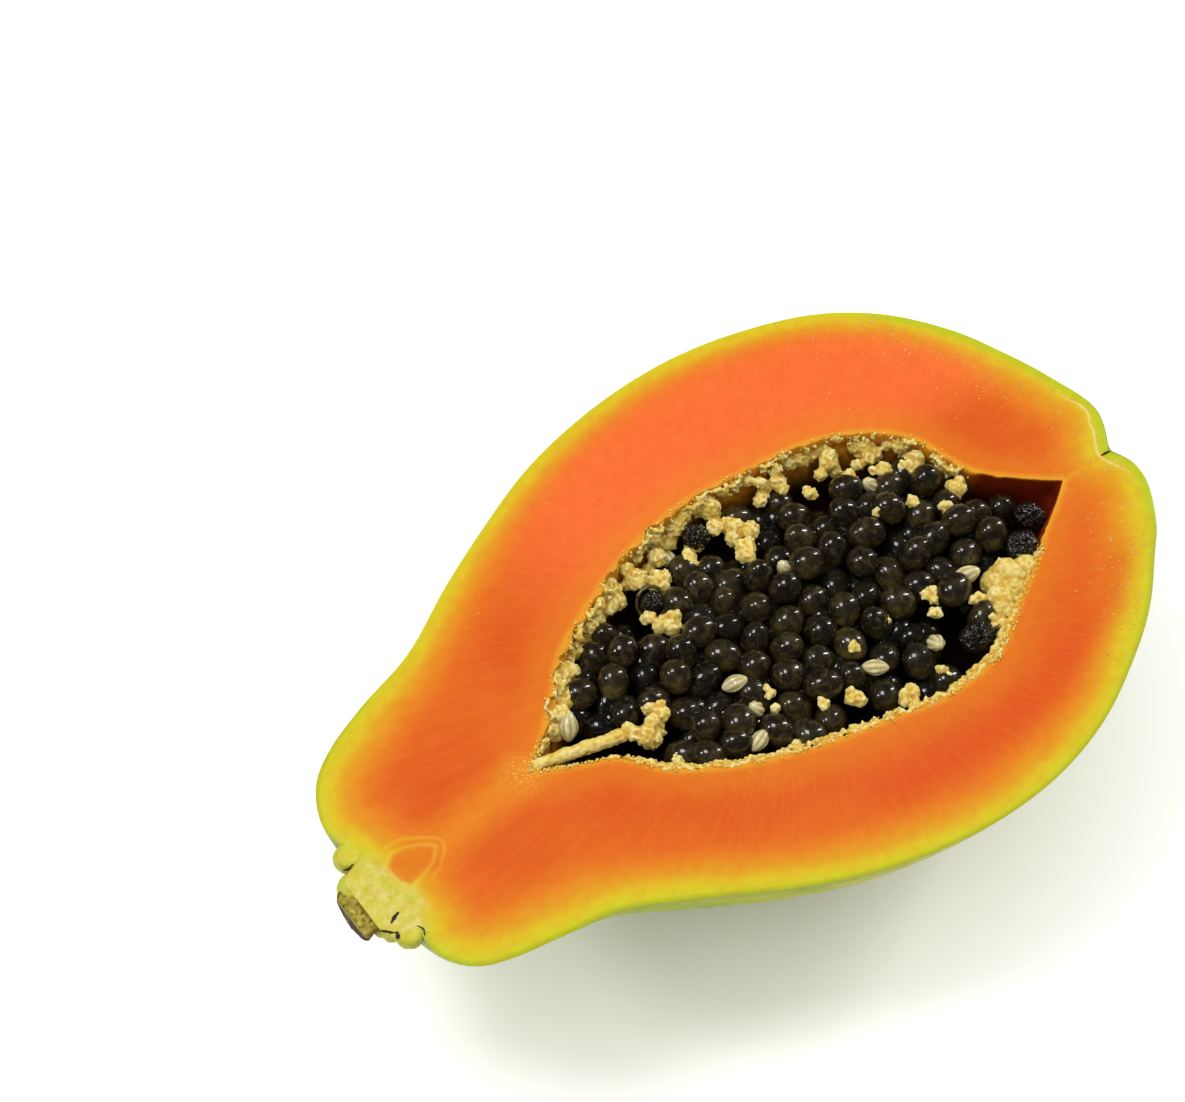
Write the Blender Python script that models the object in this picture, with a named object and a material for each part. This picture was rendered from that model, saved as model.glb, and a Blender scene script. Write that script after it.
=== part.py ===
"""Half of a papaya, cut along its length and lying on its skin with the cut face up.

The frame: +X from the stem end to the blossom end, +Y to the far side, +Z up, with the origin in
the middle of the underside's box. Measures in the lists below are in millimetres, X from the tip of
the stem shoulder, Y from the middle line of the cut face and Z from the cut face.
"""

import math
import random

import bmesh
import bpy
from mathutils import Vector

MM = 0.001
SEED_NUMBER = 7
NODE_GAP = 0.35

# Rind and flesh: the cut edge on both sides and the keel, from the stem recess to the blossom recess
STEM_RECESS = (4.5, -4.5, 0)
BLOSSOM_RECESS = (149.3, -9.8, 0)
BODY_FAR = [
    (3.2, 4.5), (1.9, 11.2), (4.9, 18.0), (10.4, 22.3), (19.0, 25.8), (31.0, 29.5), (43.0, 36.1),
    (55.2, 41.9), (67.1, 46.7), (79.0, 49.5), (91.0, 50.7), (102.8, 50.2), (114.7, 47.7),
    (127.2, 42.9), (137.0, 35.6), (144.2, 26.1), (148.4, 16.9), (151.5, 7.8), (153.3, -2.0),
]
BODY_NEAR = [
    (3.8, -11.5), (3.9, -17.4), (7.5, -22.3), (13.0, -24.6), (21.1, -26.2), (31.2, -28.3), (43.5, -34.8),
    (55.3, -41.7), (67.0, -47.0), (78.9, -50.3), (91.0, -51.8), (103.0, -51.0), (114.8, -47.7),
    (126.5, -41.7), (134.2, -36.5), (141.3, -29.9), (146.0, -25.2), (150.0, -18.8), (150.9, -14.0),
]
BODY_KEEL = [
    (4.0, -3.5, -3.8), (3.8, -2.0, -9.5), (6.5, -0.5, -15.0), (13.0, 0.5, -20.0), (22.0, 1.0, -23.2),
    (32.0, 0.5, -26.5), (43.0, 0, -32.5), (55.0, 0, -38.3), (67.0, 0, -43.3), (79.0, 0, -46.0),
    (91.0, 0, -46.3), (103.0, 0, -45.4), (115.0, 0, -42.9), (127.0, 0, -38.0), (137.0, -1.0, -31.0),
    (144.5, -2.0, -23.5), (149.5, -4.0, -16.0), (152.0, -6.0, -9.5), (152.0, -8.0, -4.5),
]
RIM_SLOPES = (math.radians(7), math.radians(20))
SHARP_ANGLE = math.radians(40)
WELD = 0.002
CUT_ALLOWANCE = 4.0
RIDGE_COUNT = 5
RIDGE_DEPTH = 0.012
REST_LEVEL = -45.7

# Seed cavity: the same three rails, from its pointed tip to its sharp corner
CAVITY_TIP = (33.8, 0, 0)
CAVITY_CORNER = (138.9, -9.6, 0)
CAVITY_FAR = [
    (39.0, 3.4), (45.0, 8.8), (51.0, 14.5), (63.0, 20.2), (74.5, 24.0), (86.0, 25.2), (97.0, 24.0),
    (108.0, 22.5), (117.5, 18.5), (124.0, 12.0), (127.5, 1.5), (134.0, -5.5),
]
CAVITY_NEAR = [
    (39.5, -3.2), (46.5, -6.6), (52.5, -13.6), (63.0, -20.0), (74.5, -24.3), (86.0, -27.2), (97.0, -29.6),
    (108.0, -28.4), (117.0, -23.2), (124.5, -19.0), (130.0, -15.2), (135.5, -12.0),
]
CAVITY_KEEL = [
    (39.0, 0, -6.0), (46.0, 0.5, -12.0), (52.0, 0, -17.5), (63.0, 0, -23.0), (74.5, 0, -26.5),
    (86.0, -1.0, -28.0), (97.0, -3.0, -27.5), (108.0, -3.0, -25.0), (117.0, -3.0, -20.5),
    (124.0, -4.0, -17.0), (129.0, -7.0, -13.5), (134.5, -9.0, -9.5),
]

# Pulp strands that run out from the cavity's wall over the seeds: both ends and the half thickness
STRANDS = [
    ((34.5, 0.5), (47.5, -3.2), 1.15), ((47.5, -3.2), (55.0, -5.4), 2.1),
    ((63.0, 19.5), (69.7, 9.2), 1.9), ((72.5, 23.0), (73.2, 18.2), 2.2),
    ((86.0, 24.0), (88.4, 13.4), 2.4), ((106.0, 22.0), (105.4, 15.7), 2.0),
    ((112.0, 20.0), (115.0, 14.8), 2.2), ((118.5, -21.0), (120.0, -16.5), 2.5),
    ((122.0, -19.0), (117.5, -15.5), 2.2), ((107.0, -27.5), (105.5, -14.5), 1.7),
    ((84.0, -26.0), (84.5, -20.5), 1.8),
]
WALL_LUMPS = 46
LUMP_STEP = 1.1

# Seeds: black ones by a seeded rule, pale unripe ones at their places on the heap
HEAP_TOP = -2.3
FAR_DROP = 4.2
FAR_DROP_FROM, FAR_DROP_WIDTH = 6.0, 15.0
EDGE_DROP, EDGE_DROP_WIDTH = 2.4, 3.5
SEED_LONG = 3.0
SEED_ROUND = 2.65
SEED_PITCH = 6.3
SEED_SHIFT = 1.3
SEED_RISE = (-1.4, 1.6)
SEED_CLOSEST = 3.4
SHAKES = 40
SEED_WALL_GAP = 0.5
PALE_LONG = 2.4
PALE_ROUND = 1.5
PALE_PLACES = [
    (78.4, 21.0), (90.7, 5.6), (70.4, -6.6), (70.3, -12.4), (101.6, -20.4), (44.3, 3.5), (114.0, -13.5),
    (67.3, -17.0), (90.7, -18.0), (113.5, 10.5),
]
PALE_RISE = 0.6
ROOT_RADIUS = 0.9
ROOT_DEPTH = 1.0
CORE_BELOW_HEAP = 1.9
CORE_WALL_GAP = 5.2
CORE_ENDS = (0.13, 0.89)
CORE_LIFT = 2.0

# Stalk: the collar round it, cut with the fruit, two small round lobes beside the collar, and the
# brown scar on its broken end
COLLAR_END = -0.9
SCAR_PLACE = (-3.8, -0.5)
COLLAR_TIP = (COLLAR_END, *SCAR_PLACE)
COLLAR_ROOT = (14.0, -4.4, -1.0)
COLLAR_FAR = [(COLLAR_END, 1.2), (0.5, 2.7), (3.0, 3.5), (7.0, 4.5)]
COLLAR_NEAR = [(COLLAR_END, -8.8), (0.3, -11.0), (3.0, -12.2), (7.0, -13.0)]
COLLAR_KEEL = [(COLLAR_END, -3.8, -4.9), (0.4, -4.1, -6.4), (3.0, -4.4, -7.4), (7.0, -4.4, -8.4)]
SCAR_THICKNESS = 1.4
SCAR_RADIUS = 4.9
SCAR_TOP = -0.4
STEM_LOBES = [((2.8, -12.5, -1.8), 2.5), ((2.4, 5.4, -2.2), 2.6)]


def clear_scene():
    for obj in list(bpy.data.objects):
        bpy.data.objects.remove(obj)


def collection(name):
    """The collection of this name, made and linked where it isn't there yet."""
    found = bpy.data.collections.get(name)
    if found is None:
        found = bpy.data.collections.new(name)
        bpy.context.scene.collection.children.link(found)
    return found


def on_spline(points, share):
    """The point at this share, 0 to 1, of the smooth curve through the points."""
    place = min(max(share, 0.0), 1.0) * (len(points) - 1)
    i = min(int(place), len(points) - 2)
    t = place - i
    before, start = points[max(i - 1, 0)], points[i]
    end, after = points[i + 1], points[min(i + 2, len(points) - 1)]
    bend = 2 * before - 5 * start + 4 * end - after
    twist = 3 * (start - end) + after - before
    return start + 0.5 * t * ((end - before) + t * (bend + t * twist))


def rails(start, far, near, keel, end):
    """The far rail, near rail and keel as lists of vectors that share both end points."""
    return [[Vector((*point, 0)[:3]) for point in (start, *side, end)] for side in (far, near, keel)]


BODY = rails(STEM_RECESS, BODY_FAR, BODY_NEAR, BODY_KEEL, BLOSSOM_RECESS)
CAVITY = rails(CAVITY_TIP, CAVITY_FAR, CAVITY_NEAR, CAVITY_KEEL, CAVITY_CORNER)
CAVITY_EDGE = [on_spline(CAVITY[0], i / 40) for i in range(41)]
CAVITY_EDGE += [on_spline(CAVITY[1], i / 40) for i in range(39, 0, -1)]


def wall_distance(x, y):
    """How far this place of the cut plane lies inside the cavity's edge, below 0 outside it."""
    place = Vector((x, y, 0))
    nearest, inside = 1e9, False
    for a, b in zip(CAVITY_EDGE, CAVITY_EDGE[1:] + CAVITY_EDGE[:1]):
        along = b - a
        share = min(max((place - a).dot(along) / along.dot(along), 0), 1)
        nearest = min(nearest, (a + share * along - place).length)
        if (a.y > y) != (b.y > y) and x < a.x + (y - a.y) * along.x / along.y:
            inside = not inside
    return nearest if inside else -nearest


def heap_level(x, y):
    """Height of the seed heap's middle surface: a little below the cut, lower by the far wall."""
    far_drop = FAR_DROP * min(max((y - FAR_DROP_FROM) / FAR_DROP_WIDTH, 0.0), 1.0)
    edge_drop = EDGE_DROP * math.exp(-max(wall_distance(x, y), 0.0) / EDGE_DROP_WIDTH)
    return HEAP_TOP - far_drop - edge_drop


def face_outward(bm):
    bmesh.ops.recalc_face_normals(bm, faces=bm.faces)
    if bm.calc_volume(signed=True) < 0:
        bmesh.ops.reverse_faces(bm, faces=bm.faces)


def above_cut(x, y):
    """The level lid of a body that reaches past the cut face and is trimmed to it."""
    return CUT_ALLOWANCE


def core_level(x, y):
    """Height of the core's top, which the visible seeds are sunk in."""
    return heap_level(x, y) - CORE_BELOW_HEAP


def inward_step(place):
    """The way from the cavity's wall towards its middle, as long as the step it is measured over."""
    room = wall_distance(place.x, place.y)
    step = 0.5
    slope_x = wall_distance(place.x + step, place.y) - room
    slope_y = wall_distance(place.x, place.y + step) - room
    return Vector((slope_x, slope_y, 0))


def new_object(name, bm, group="papaya_half"):
    mesh = bpy.data.meshes.new(name)
    face_outward(bm)
    bm.to_mesh(mesh)
    bm.free()
    obj = bpy.data.objects.new(name, mesh)
    collection(group).objects.link(obj)
    return obj


def boat(
    three_rails, stations, around, lid, slopes=(0.0, 0.0), ridge=0.0, ends=(0.0, 1.0), inset=0.0, lift=0.0
):
    """A closed pod between two side rails and a keel, with its top at the heights that lid gives.

    A ball with its poles on the two ends is drawn out: each ring of it becomes a section. The two
    slopes are the angles by which the skin leans inward right below the far and the near cut edge.
    """
    far_slope, near_slope = slopes
    bm = bmesh.new()
    bmesh.ops.create_uvsphere(bm, u_segments=2 * around, v_segments=stations, radius=1)
    for vertex in bm.verts:
        share = math.acos(max(-1.0, min(1.0, vertex.co.z))) / math.pi
        turn = math.atan2(vertex.co.y, vertex.co.x)
        at_pole = share < 1e-6 or share > 1 - 1e-6
        share = ends[0] + share * (ends[1] - ends[0])
        far, near, keel = (on_spline(rail, share) for rail in three_rails)
        middle, half = (far + near) / 2, (far - near) / 2
        half *= 0.0 if at_pole else max(1 - inset / max(half.length, 1e-6), 0.1)
        keel = keel + Vector((0, 0, lift))
        if turn > 1e-4 and turn < math.pi - 1e-4:
            place = middle + half * math.cos(turn)
            place.z = lid(place.x, place.y)
            rise = math.sin(turn)
            place.z *= rise if inset == 0 else 1.0
        else:
            part = abs(turn) / math.pi
            bend = far_slope + part * (math.pi - far_slope - near_slope)
            base = (1 - part) * math.sin(far_slope) + part * math.sin(near_slope)
            reach = (1 - part) * math.cos(far_slope) + part * math.cos(near_slope)
            depth = 0.0 if at_pole else (math.sin(bend) - base) / (1 - base)
            rim = middle + half * math.cos(bend) / reach
            if inset:
                rim.z = lid(rim.x, rim.y)
            wave = (math.cos(RIDGE_COUNT * (bend - math.pi / 2)) - 1) / 2 * math.sin(bend) ** 2
            place = rim + (keel - Vector((middle.x, middle.y, rim.z))) * depth
            place = middle + (place - middle) * (1 + ridge * wave)
        vertex.co = place * MM
    return bm


def lump(bm, place, radius, chance, detail=1):
    """One round crumb of pulp, a little irregular."""
    made = bmesh.ops.create_icosphere(bm, subdivisions=detail, radius=1)["verts"]
    stretch = Vector([radius * chance.uniform(0.85, 1.15) for _ in range(3)])
    for vertex in made:
        away = vertex.co.normalized() * chance.uniform(0.9, 1.1)
        vertex.co = (place + away * stretch) * MM


def pulp_places():
    """Place and radius of each pulp crumb: along the cavity's wall, then along the strands."""
    chance = random.Random(SEED_NUMBER)
    found = []
    for index in range(WALL_LUMPS):
        edge = CAVITY_EDGE[round(index * len(CAVITY_EDGE) / WALL_LUMPS) % len(CAVITY_EDGE)]
        radius = chance.uniform(1.0, 1.8)
        if 37 < edge.x < 122:
            found.append((edge + Vector((0, 0, -chance.uniform(radius, 3.0))), radius))
    for start, end, radius in STRANDS:
        start, end = Vector((*start, 0)), Vector((*end, 0))
        steps = max(2, math.ceil((end - start).length / (LUMP_STEP * radius)))
        for step in range(steps + 1):
            place = start.lerp(end, step / steps)
            size = radius * chance.uniform(0.9, 1.15)
            level = core_level(place.x, place.y) + NODE_GAP + 1.15 * size
            place.z = min(level, -0.7 * size)
            found.append((place, size))
    return found


def union(target, helper_bm, name):
    """Joins the loose bodies of helper_bm to the target by one Boolean union."""
    group = collection(name)
    whole = new_object(name, helper_bm, name)
    bpy.context.view_layer.objects.active = whole
    whole.select_set(True)
    bpy.ops.object.mode_set(mode="EDIT")
    bpy.ops.mesh.separate(type="LOOSE")
    bpy.ops.object.mode_set(mode="OBJECT")
    pieces = list(group.objects)
    join = target.modifiers.new(name, "BOOLEAN")
    join.operation = "UNION"
    join.operand_type = "COLLECTION"
    join.collection = group
    join.solver = "MANIFOLD"
    apply_modifiers(target)
    for piece in pieces:
        bpy.data.objects.remove(piece)
    bpy.data.collections.remove(group)
    fill_pockets(target)


def fill_pockets(obj):
    """Removes the small closed pockets that a union can leave inside, so that one outer skin stays."""
    bm = bmesh.new()
    bm.from_mesh(obj.data)
    left, bodies = set(bm.verts), []
    while left:
        body, edge = set(), {left.pop()}
        while edge:
            body |= edge
            edge = {e.other_vert(v) for v in edge for e in v.link_edges} - body
        bodies.append(body)
        left -= body
    outer = max(bodies, key=len)
    bmesh.ops.delete(bm, geom=[vertex for vertex in bm.verts if vertex not in outer], context="VERTS")
    bmesh.ops.remove_doubles(bm, verts=bm.verts, dist=WELD * MM)
    face_outward(bm)
    bm.to_mesh(obj.data)
    bm.free()


def apply_modifiers(obj):
    bpy.ops.object.select_all(action="DESELECT")
    bpy.context.view_layer.objects.active = obj
    obj.select_set(True)
    bpy.ops.object.convert(target="MESH")
    bpy.ops.object.select_all(action="DESELECT")


def cut_by_plane(bm, height, keep_below):
    """Cuts the body at this height and closes it with one face."""
    bmesh.ops.remove_doubles(bm, verts=bm.verts, dist=WELD * MM)
    geometry = bm.verts[:] + bm.edges[:] + bm.faces[:]
    bmesh.ops.bisect_plane(
        bm, geom=geometry, dist=1e-7, plane_co=(0, 0, height * MM), plane_no=(0, 0, 1),
        clear_outer=keep_below, clear_inner=not keep_below,
    )
    bmesh.ops.remove_doubles(bm, verts=bm.verts, dist=WELD * MM)
    rim = [edge for edge in bm.edges if edge.is_boundary]
    bmesh.ops.contextual_create(bm, geom=rim)


def make_flesh():
    flesh = new_object("flesh", boat(BODY, 38, 18, above_cut, slopes=RIM_SLOPES, ridge=RIDGE_DEPTH))
    union(flesh, stem_lobes(), "stem_lobes")
    halved = bmesh.new()
    halved.from_mesh(flesh.data)
    cut_by_plane(halved, 0.0, keep_below=True)
    cut_by_plane(halved, REST_LEVEL, keep_below=False)
    halved.to_mesh(flesh.data)
    halved.free()
    cutter = new_object("cavity", boat(CAVITY, 30, 12, above_cut), "cutters")
    cut = flesh.modifiers.new("cavity", "BOOLEAN")
    cut.operation = "DIFFERENCE"
    cut.object = cutter
    cut.solver = "EXACT"
    apply_modifiers(flesh)
    bpy.data.objects.remove(cutter)
    pulp = bmesh.new()
    chance = random.Random(SEED_NUMBER + 1)
    for place, radius in pulp_places():
        lump(pulp, place, radius, chance)
    union(flesh, pulp, "pulp")
    return flesh


def stem_lobes():
    """The collar round the stalk and the small round lobes beside it, not yet cut with the fruit."""
    collar = rails(COLLAR_TIP, COLLAR_FAR, COLLAR_NEAR, COLLAR_KEEL, COLLAR_ROOT)
    bm = boat(collar, 10, 8, above_cut)
    for place, radius in STEM_LOBES:
        lump(bm, Vector(place), radius, random.Random(SEED_NUMBER), detail=2)
    return bm


def scar_object():
    """The corky broken end of the stalk, a ragged half disc on the collar's end."""
    bm = bmesh.new()
    chance = random.Random(SEED_NUMBER)
    made = bmesh.ops.create_cone(
        bm, cap_ends=True, segments=18, radius1=0.9 * SCAR_RADIUS, radius2=SCAR_RADIUS,
        depth=SCAR_THICKNESS,
    )["verts"]
    middle = COLLAR_END - NODE_GAP - SCAR_THICKNESS / 2
    for vertex in made:
        x, y, z = vertex.co
        ragged = chance.uniform(0.88, 1.06)
        outer = chance.uniform(0.0, 0.6) if z < 0 else 0.0
        vertex.co = Vector((middle + z - outer, SCAR_PLACE[0] + y * ragged, SCAR_PLACE[1] + x * ragged)) * MM
    cut_by_plane(bm, SCAR_TOP, keep_below=True)
    return new_object("stalk_scar", bm)


def seed_room(height):
    """How far inside the cavity's edge a seed at this height stays, more where the wall draws in below."""
    return SEED_LONG + SEED_WALL_GAP + 0.3 * max(0.0, -height - 3.0)


def seed_places(pulp):
    """Centres of the black seeds: a staggered grid over the heap, shaken and then pushed apart."""
    chance = random.Random(SEED_NUMBER)
    row_height = SEED_PITCH * math.sqrt(3) / 2
    seeds = []
    for row in range(-6, 7):
        for column in range(20):
            x = CAVITY_TIP[0] + (column + 0.5 * (row % 2)) * SEED_PITCH
            x += chance.uniform(-SEED_SHIFT, SEED_SHIFT)
            y = row * row_height + chance.uniform(-SEED_SHIFT, SEED_SHIFT)
            height = chance.uniform(*SEED_RISE)
            if wall_distance(x, y) > 1.0:
                seeds.append((Vector((x, y, heap_level(x, y) + height)), height))
    crumbs = [(place, radius + SEED_LONG + NODE_GAP) for place, radius in pulp]
    crumbs += [(Vector((x, y, heap_level(x, y))), PALE_ROUND + SEED_ROUND - 0.6) for x, y in PALE_PLACES]
    for shake in range(SHAKES):
        strength = 0.35 * (1 - shake / (SHAKES - 1))
        for i, (seed, height) in enumerate(seeds):
            push = Vector()
            for j, (other, _height) in enumerate(seeds):
                away = seed - other
                if i != j and away.length < SEED_PITCH:
                    push += away.normalized() * (SEED_PITCH - away.length) * strength
            for crumb, reach in crumbs:
                away = seed - crumb
                if away.length < reach + 0.1:
                    push += away.normalized() * (reach + 0.15 - away.length)
            seed.x += push.x
            seed.y += push.y
            lack = seed_room(seed.z) - wall_distance(seed.x, seed.y)
            if lack > 0:
                seed += 2 * lack * inward_step(seed)
            seed.z = heap_level(seed.x, seed.y) + height
    kept = []
    for seed, _height in seeds:
        clear = all((seed - crumb).length > reach - 0.1 for crumb, reach in crumbs[: len(pulp)])
        apart = all((seed - other).length > SEED_CLOSEST for other in kept)
        if clear and apart and wall_distance(seed.x, seed.y) > seed_room(seed.z) - 0.1:
            kept.append(seed)
    return kept


def add_ovoid(bm, place, long_radius, round_radius, chance, segments=8, rings=4):
    """One seed, an ovoid turned at random."""
    made = bmesh.ops.create_uvsphere(bm, u_segments=segments, v_segments=rings, radius=1)["verts"]
    axis = Vector([chance.uniform(-1, 1) for _ in range(3)]).normalized()
    turn = axis.to_track_quat("Z", "Y")
    radii = Vector((round_radius, round_radius, long_radius))
    for vertex in made:
        vertex.co = (place + turn @ (vertex.co * radii)) * MM


def add_root(bm, place):
    """The thin neck by which a seed stands in the core, leaning inward where the wall is near."""
    foot = place.copy()
    while wall_distance(foot.x, foot.y) < CORE_WALL_GAP + 2 * ROOT_RADIUS:
        foot += inward_step(foot)
    foot.z = core_level(foot.x, foot.y) - ROOT_DEPTH
    along = foot - place
    made = bmesh.ops.create_cone(
        bm, cap_ends=True, segments=4, radius1=ROOT_RADIUS, radius2=ROOT_RADIUS, depth=along.length
    )["verts"]
    turn = along.to_track_quat("Z", "Y")
    for vertex in made:
        vertex.co = (place + along / 2 + turn @ vertex.co) * MM


def make_seed_mass():
    """All the seeds with the dark core that they stand in, as one body."""
    core_bm = boat(CAVITY, 26, 8, core_level, ends=CORE_ENDS, inset=CORE_WALL_GAP, lift=CORE_LIFT)
    core = new_object("seed_mass", core_bm)
    chance = random.Random(SEED_NUMBER + 2)
    seeds = bmesh.new()
    for place in seed_places(pulp_places()):
        add_ovoid(seeds, place, SEED_LONG, SEED_ROUND, chance)
        above_core = place.z - core_level(place.x, place.y)
        if above_core > 0.8 * SEED_ROUND or wall_distance(place.x, place.y) < CORE_WALL_GAP + 0.6:
            add_root(seeds, place)
    for x, y in PALE_PLACES:
        place = Vector((x, y, heap_level(x, y) + PALE_RISE))
        add_ovoid(seeds, place, PALE_LONG, PALE_ROUND, chance, 6, 4)
        add_root(seeds, place)
    union(core, seeds, "seeds")
    return core


def place_in_frame(objects):
    """Moves all the meshes together, so that the origin is the middle of the box's underside."""
    corners = [vertex.co for obj in objects for vertex in obj.data.vertices]
    low = Vector([min(corner[axis] for corner in corners) for axis in range(3)])
    high = Vector([max(corner[axis] for corner in corners) for axis in range(3)])
    middle = (low + high) / 2
    for obj in objects:
        for vertex in obj.data.vertices:
            vertex.co -= Vector((middle.x, middle.y, low.z))


def finish_surface(obj, name, colour, roughness):
    """Smooth shading with sharp cut edges, and the piece's own material."""
    made = bpy.data.materials.new(name)
    made.use_nodes = True
    shader = made.node_tree.nodes["Principled BSDF"]
    shader.inputs["Base Color"].default_value = (*colour, 1)
    shader.inputs["Roughness"].default_value = roughness
    shader.inputs["Metallic"].default_value = 0.0
    obj.data.materials.clear()
    obj.data.materials.append(made)
    obj.data.shade_smooth()
    obj.data.set_sharp_from_angle(angle=SHARP_ANGLE)


def main():
    clear_scene()
    flesh = make_flesh()
    seeds = make_seed_mass()
    scar = scar_object()
    place_in_frame([flesh, seeds, scar])
    finish_surface(flesh, "orange_flesh", (0.93, 0.36, 0.07), 0.35)
    finish_surface(seeds, "wet_black_seed", (0.03, 0.025, 0.018), 0.15)
    finish_surface(scar, "brown_cork", (0.3, 0.18, 0.07), 0.8)


main()
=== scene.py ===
"""Looks of half a papaya: fine flesh, rind, pulp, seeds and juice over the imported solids.

All shapes are worked out in millimetres in the fruit's own measures, X from the tip of the stem
shoulder, Y from the middle line of the cut face, Z from the cut face, and moved to the frame last.
"""

import math
import random

import bmesh
import bpy
import numpy as np
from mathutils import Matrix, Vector, noise


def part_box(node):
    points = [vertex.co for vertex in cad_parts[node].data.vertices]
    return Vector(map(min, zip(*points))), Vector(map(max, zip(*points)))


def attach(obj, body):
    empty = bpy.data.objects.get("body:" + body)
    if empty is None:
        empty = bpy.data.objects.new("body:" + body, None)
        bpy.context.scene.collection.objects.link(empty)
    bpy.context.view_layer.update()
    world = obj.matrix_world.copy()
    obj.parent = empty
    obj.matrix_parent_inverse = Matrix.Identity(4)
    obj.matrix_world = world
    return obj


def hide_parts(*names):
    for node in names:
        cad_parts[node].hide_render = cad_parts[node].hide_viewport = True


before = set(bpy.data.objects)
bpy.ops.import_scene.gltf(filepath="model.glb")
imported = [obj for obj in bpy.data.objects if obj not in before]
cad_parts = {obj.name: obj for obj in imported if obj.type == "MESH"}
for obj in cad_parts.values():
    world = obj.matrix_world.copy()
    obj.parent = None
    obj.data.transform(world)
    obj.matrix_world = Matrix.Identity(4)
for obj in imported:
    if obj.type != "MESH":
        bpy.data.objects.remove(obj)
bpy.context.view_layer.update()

MM = 0.001
SEED_NUMBER = 7

# Rind: cut edge on both sides and keel, from the stem recess to the blossom recess
STEM_RECESS = (4.5, -4.5, 0)
BLOSSOM_RECESS = (149.3, -9.8, 0)
BODY_FAR = [
    (3.2, 4.5), (1.9, 11.2), (4.9, 18.0), (10.4, 22.3), (19.0, 25.8), (31.0, 29.5), (43.0, 36.1),
    (55.2, 41.9), (67.1, 46.7), (79.0, 49.5), (91.0, 50.7), (102.8, 50.2), (114.7, 47.7),
    (127.2, 42.9), (137.0, 35.6), (144.2, 26.1), (148.4, 16.9), (151.5, 7.8), (153.3, -2.0),
]
BODY_NEAR = [
    (3.8, -11.5), (3.9, -17.4), (7.5, -22.3), (13.0, -24.6), (21.1, -26.2), (31.2, -28.3), (43.5, -34.8),
    (55.3, -41.7), (67.0, -47.0), (78.9, -50.3), (91.0, -51.8), (103.0, -51.0), (114.8, -47.7),
    (126.5, -41.7), (134.2, -36.5), (141.3, -29.9), (146.0, -25.2), (150.0, -18.8), (150.9, -14.0),
]
BODY_KEEL = [
    (4.0, -3.5, -3.8), (3.8, -2.0, -9.5), (6.5, -0.5, -15.0), (13.0, 0.5, -20.0), (22.0, 1.0, -23.2),
    (32.0, 0.5, -26.5), (43.0, 0, -32.5), (55.0, 0, -38.3), (67.0, 0, -43.3), (79.0, 0, -46.0),
    (91.0, 0, -46.3), (103.0, 0, -45.4), (115.0, 0, -42.9), (127.0, 0, -38.0), (137.0, -1.0, -31.0),
    (144.5, -2.0, -23.5), (149.5, -4.0, -16.0), (152.0, -6.0, -9.5), (152.0, -8.0, -4.5),
]
RIM_SLOPES = (math.radians(7), math.radians(20))
RIDGE_COUNT = 5
RIDGE_DEPTH = 0.012
REST_LEVEL = -45.7

# Seed cavity: the same three rails, from its pointed tip to its sharp corner
CAVITY_TIP = (33.8, 0, 0)
CAVITY_CORNER = (138.9, -9.6, 0)
CAVITY_FAR = [
    (39.0, 3.4), (45.0, 8.8), (51.0, 14.5), (63.0, 20.2), (74.5, 24.0), (86.0, 25.2), (97.0, 24.0),
    (108.0, 22.5), (117.5, 18.5), (124.0, 12.0), (127.5, 1.5), (134.0, -5.5),
]
CAVITY_NEAR = [
    (39.5, -3.2), (46.5, -6.6), (52.5, -13.6), (63.0, -20.0), (74.5, -24.3), (86.0, -27.2), (97.0, -29.6),
    (108.0, -28.4), (117.0, -23.2), (124.5, -19.0), (130.0, -15.2), (135.5, -12.0),
]
CAVITY_KEEL = [
    (39.0, 0, -6.0), (46.0, 0.5, -12.0), (52.0, 0, -17.5), (63.0, 0, -23.0), (74.5, 0, -26.5),
    (86.0, -1.0, -28.0), (97.0, -3.0, -27.5), (108.0, -3.0, -25.0), (117.0, -3.0, -20.5),
    (124.0, -4.0, -17.0), (129.0, -7.0, -13.5), (134.5, -9.0, -9.5),
]
CAVITY_MIDDLE = (86.0, -2.0)

# Collar round the stalk, the small lobes beside it, and the scar on its end
COLLAR_END = -0.9
SCAR_PLACE = (-3.4, -0.5)
SCAR_RADIUS = 4.5
COLLAR_FAR = [(COLLAR_END, 1.2), (0.5, 2.7), (3.0, 3.5), (7.0, 4.5)]
COLLAR_NEAR = [(COLLAR_END, -8.8), (0.3, -11.0), (3.0, -12.2), (7.0, -13.0)]
COLLAR_KEEL = [(COLLAR_END, -3.8, -4.9), (0.4, -4.1, -6.4), (3.0, -4.4, -7.4), (7.0, -4.4, -8.4)]
COLLAR_ROOT = (14.0, -4.4, -1.0)
STEM_LOBES = [((2.5, -11.3, -1.2), 2.3), ((2.5, 5.2, -1.7), 2.6)]
COLLAR_BUMPS = [((-0.2, 0.6, -1.3), 2.3), ((0.7, -9.0, -1.5), 1.8), ((0.0, -7.6, -2.0), 1.6)]

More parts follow.
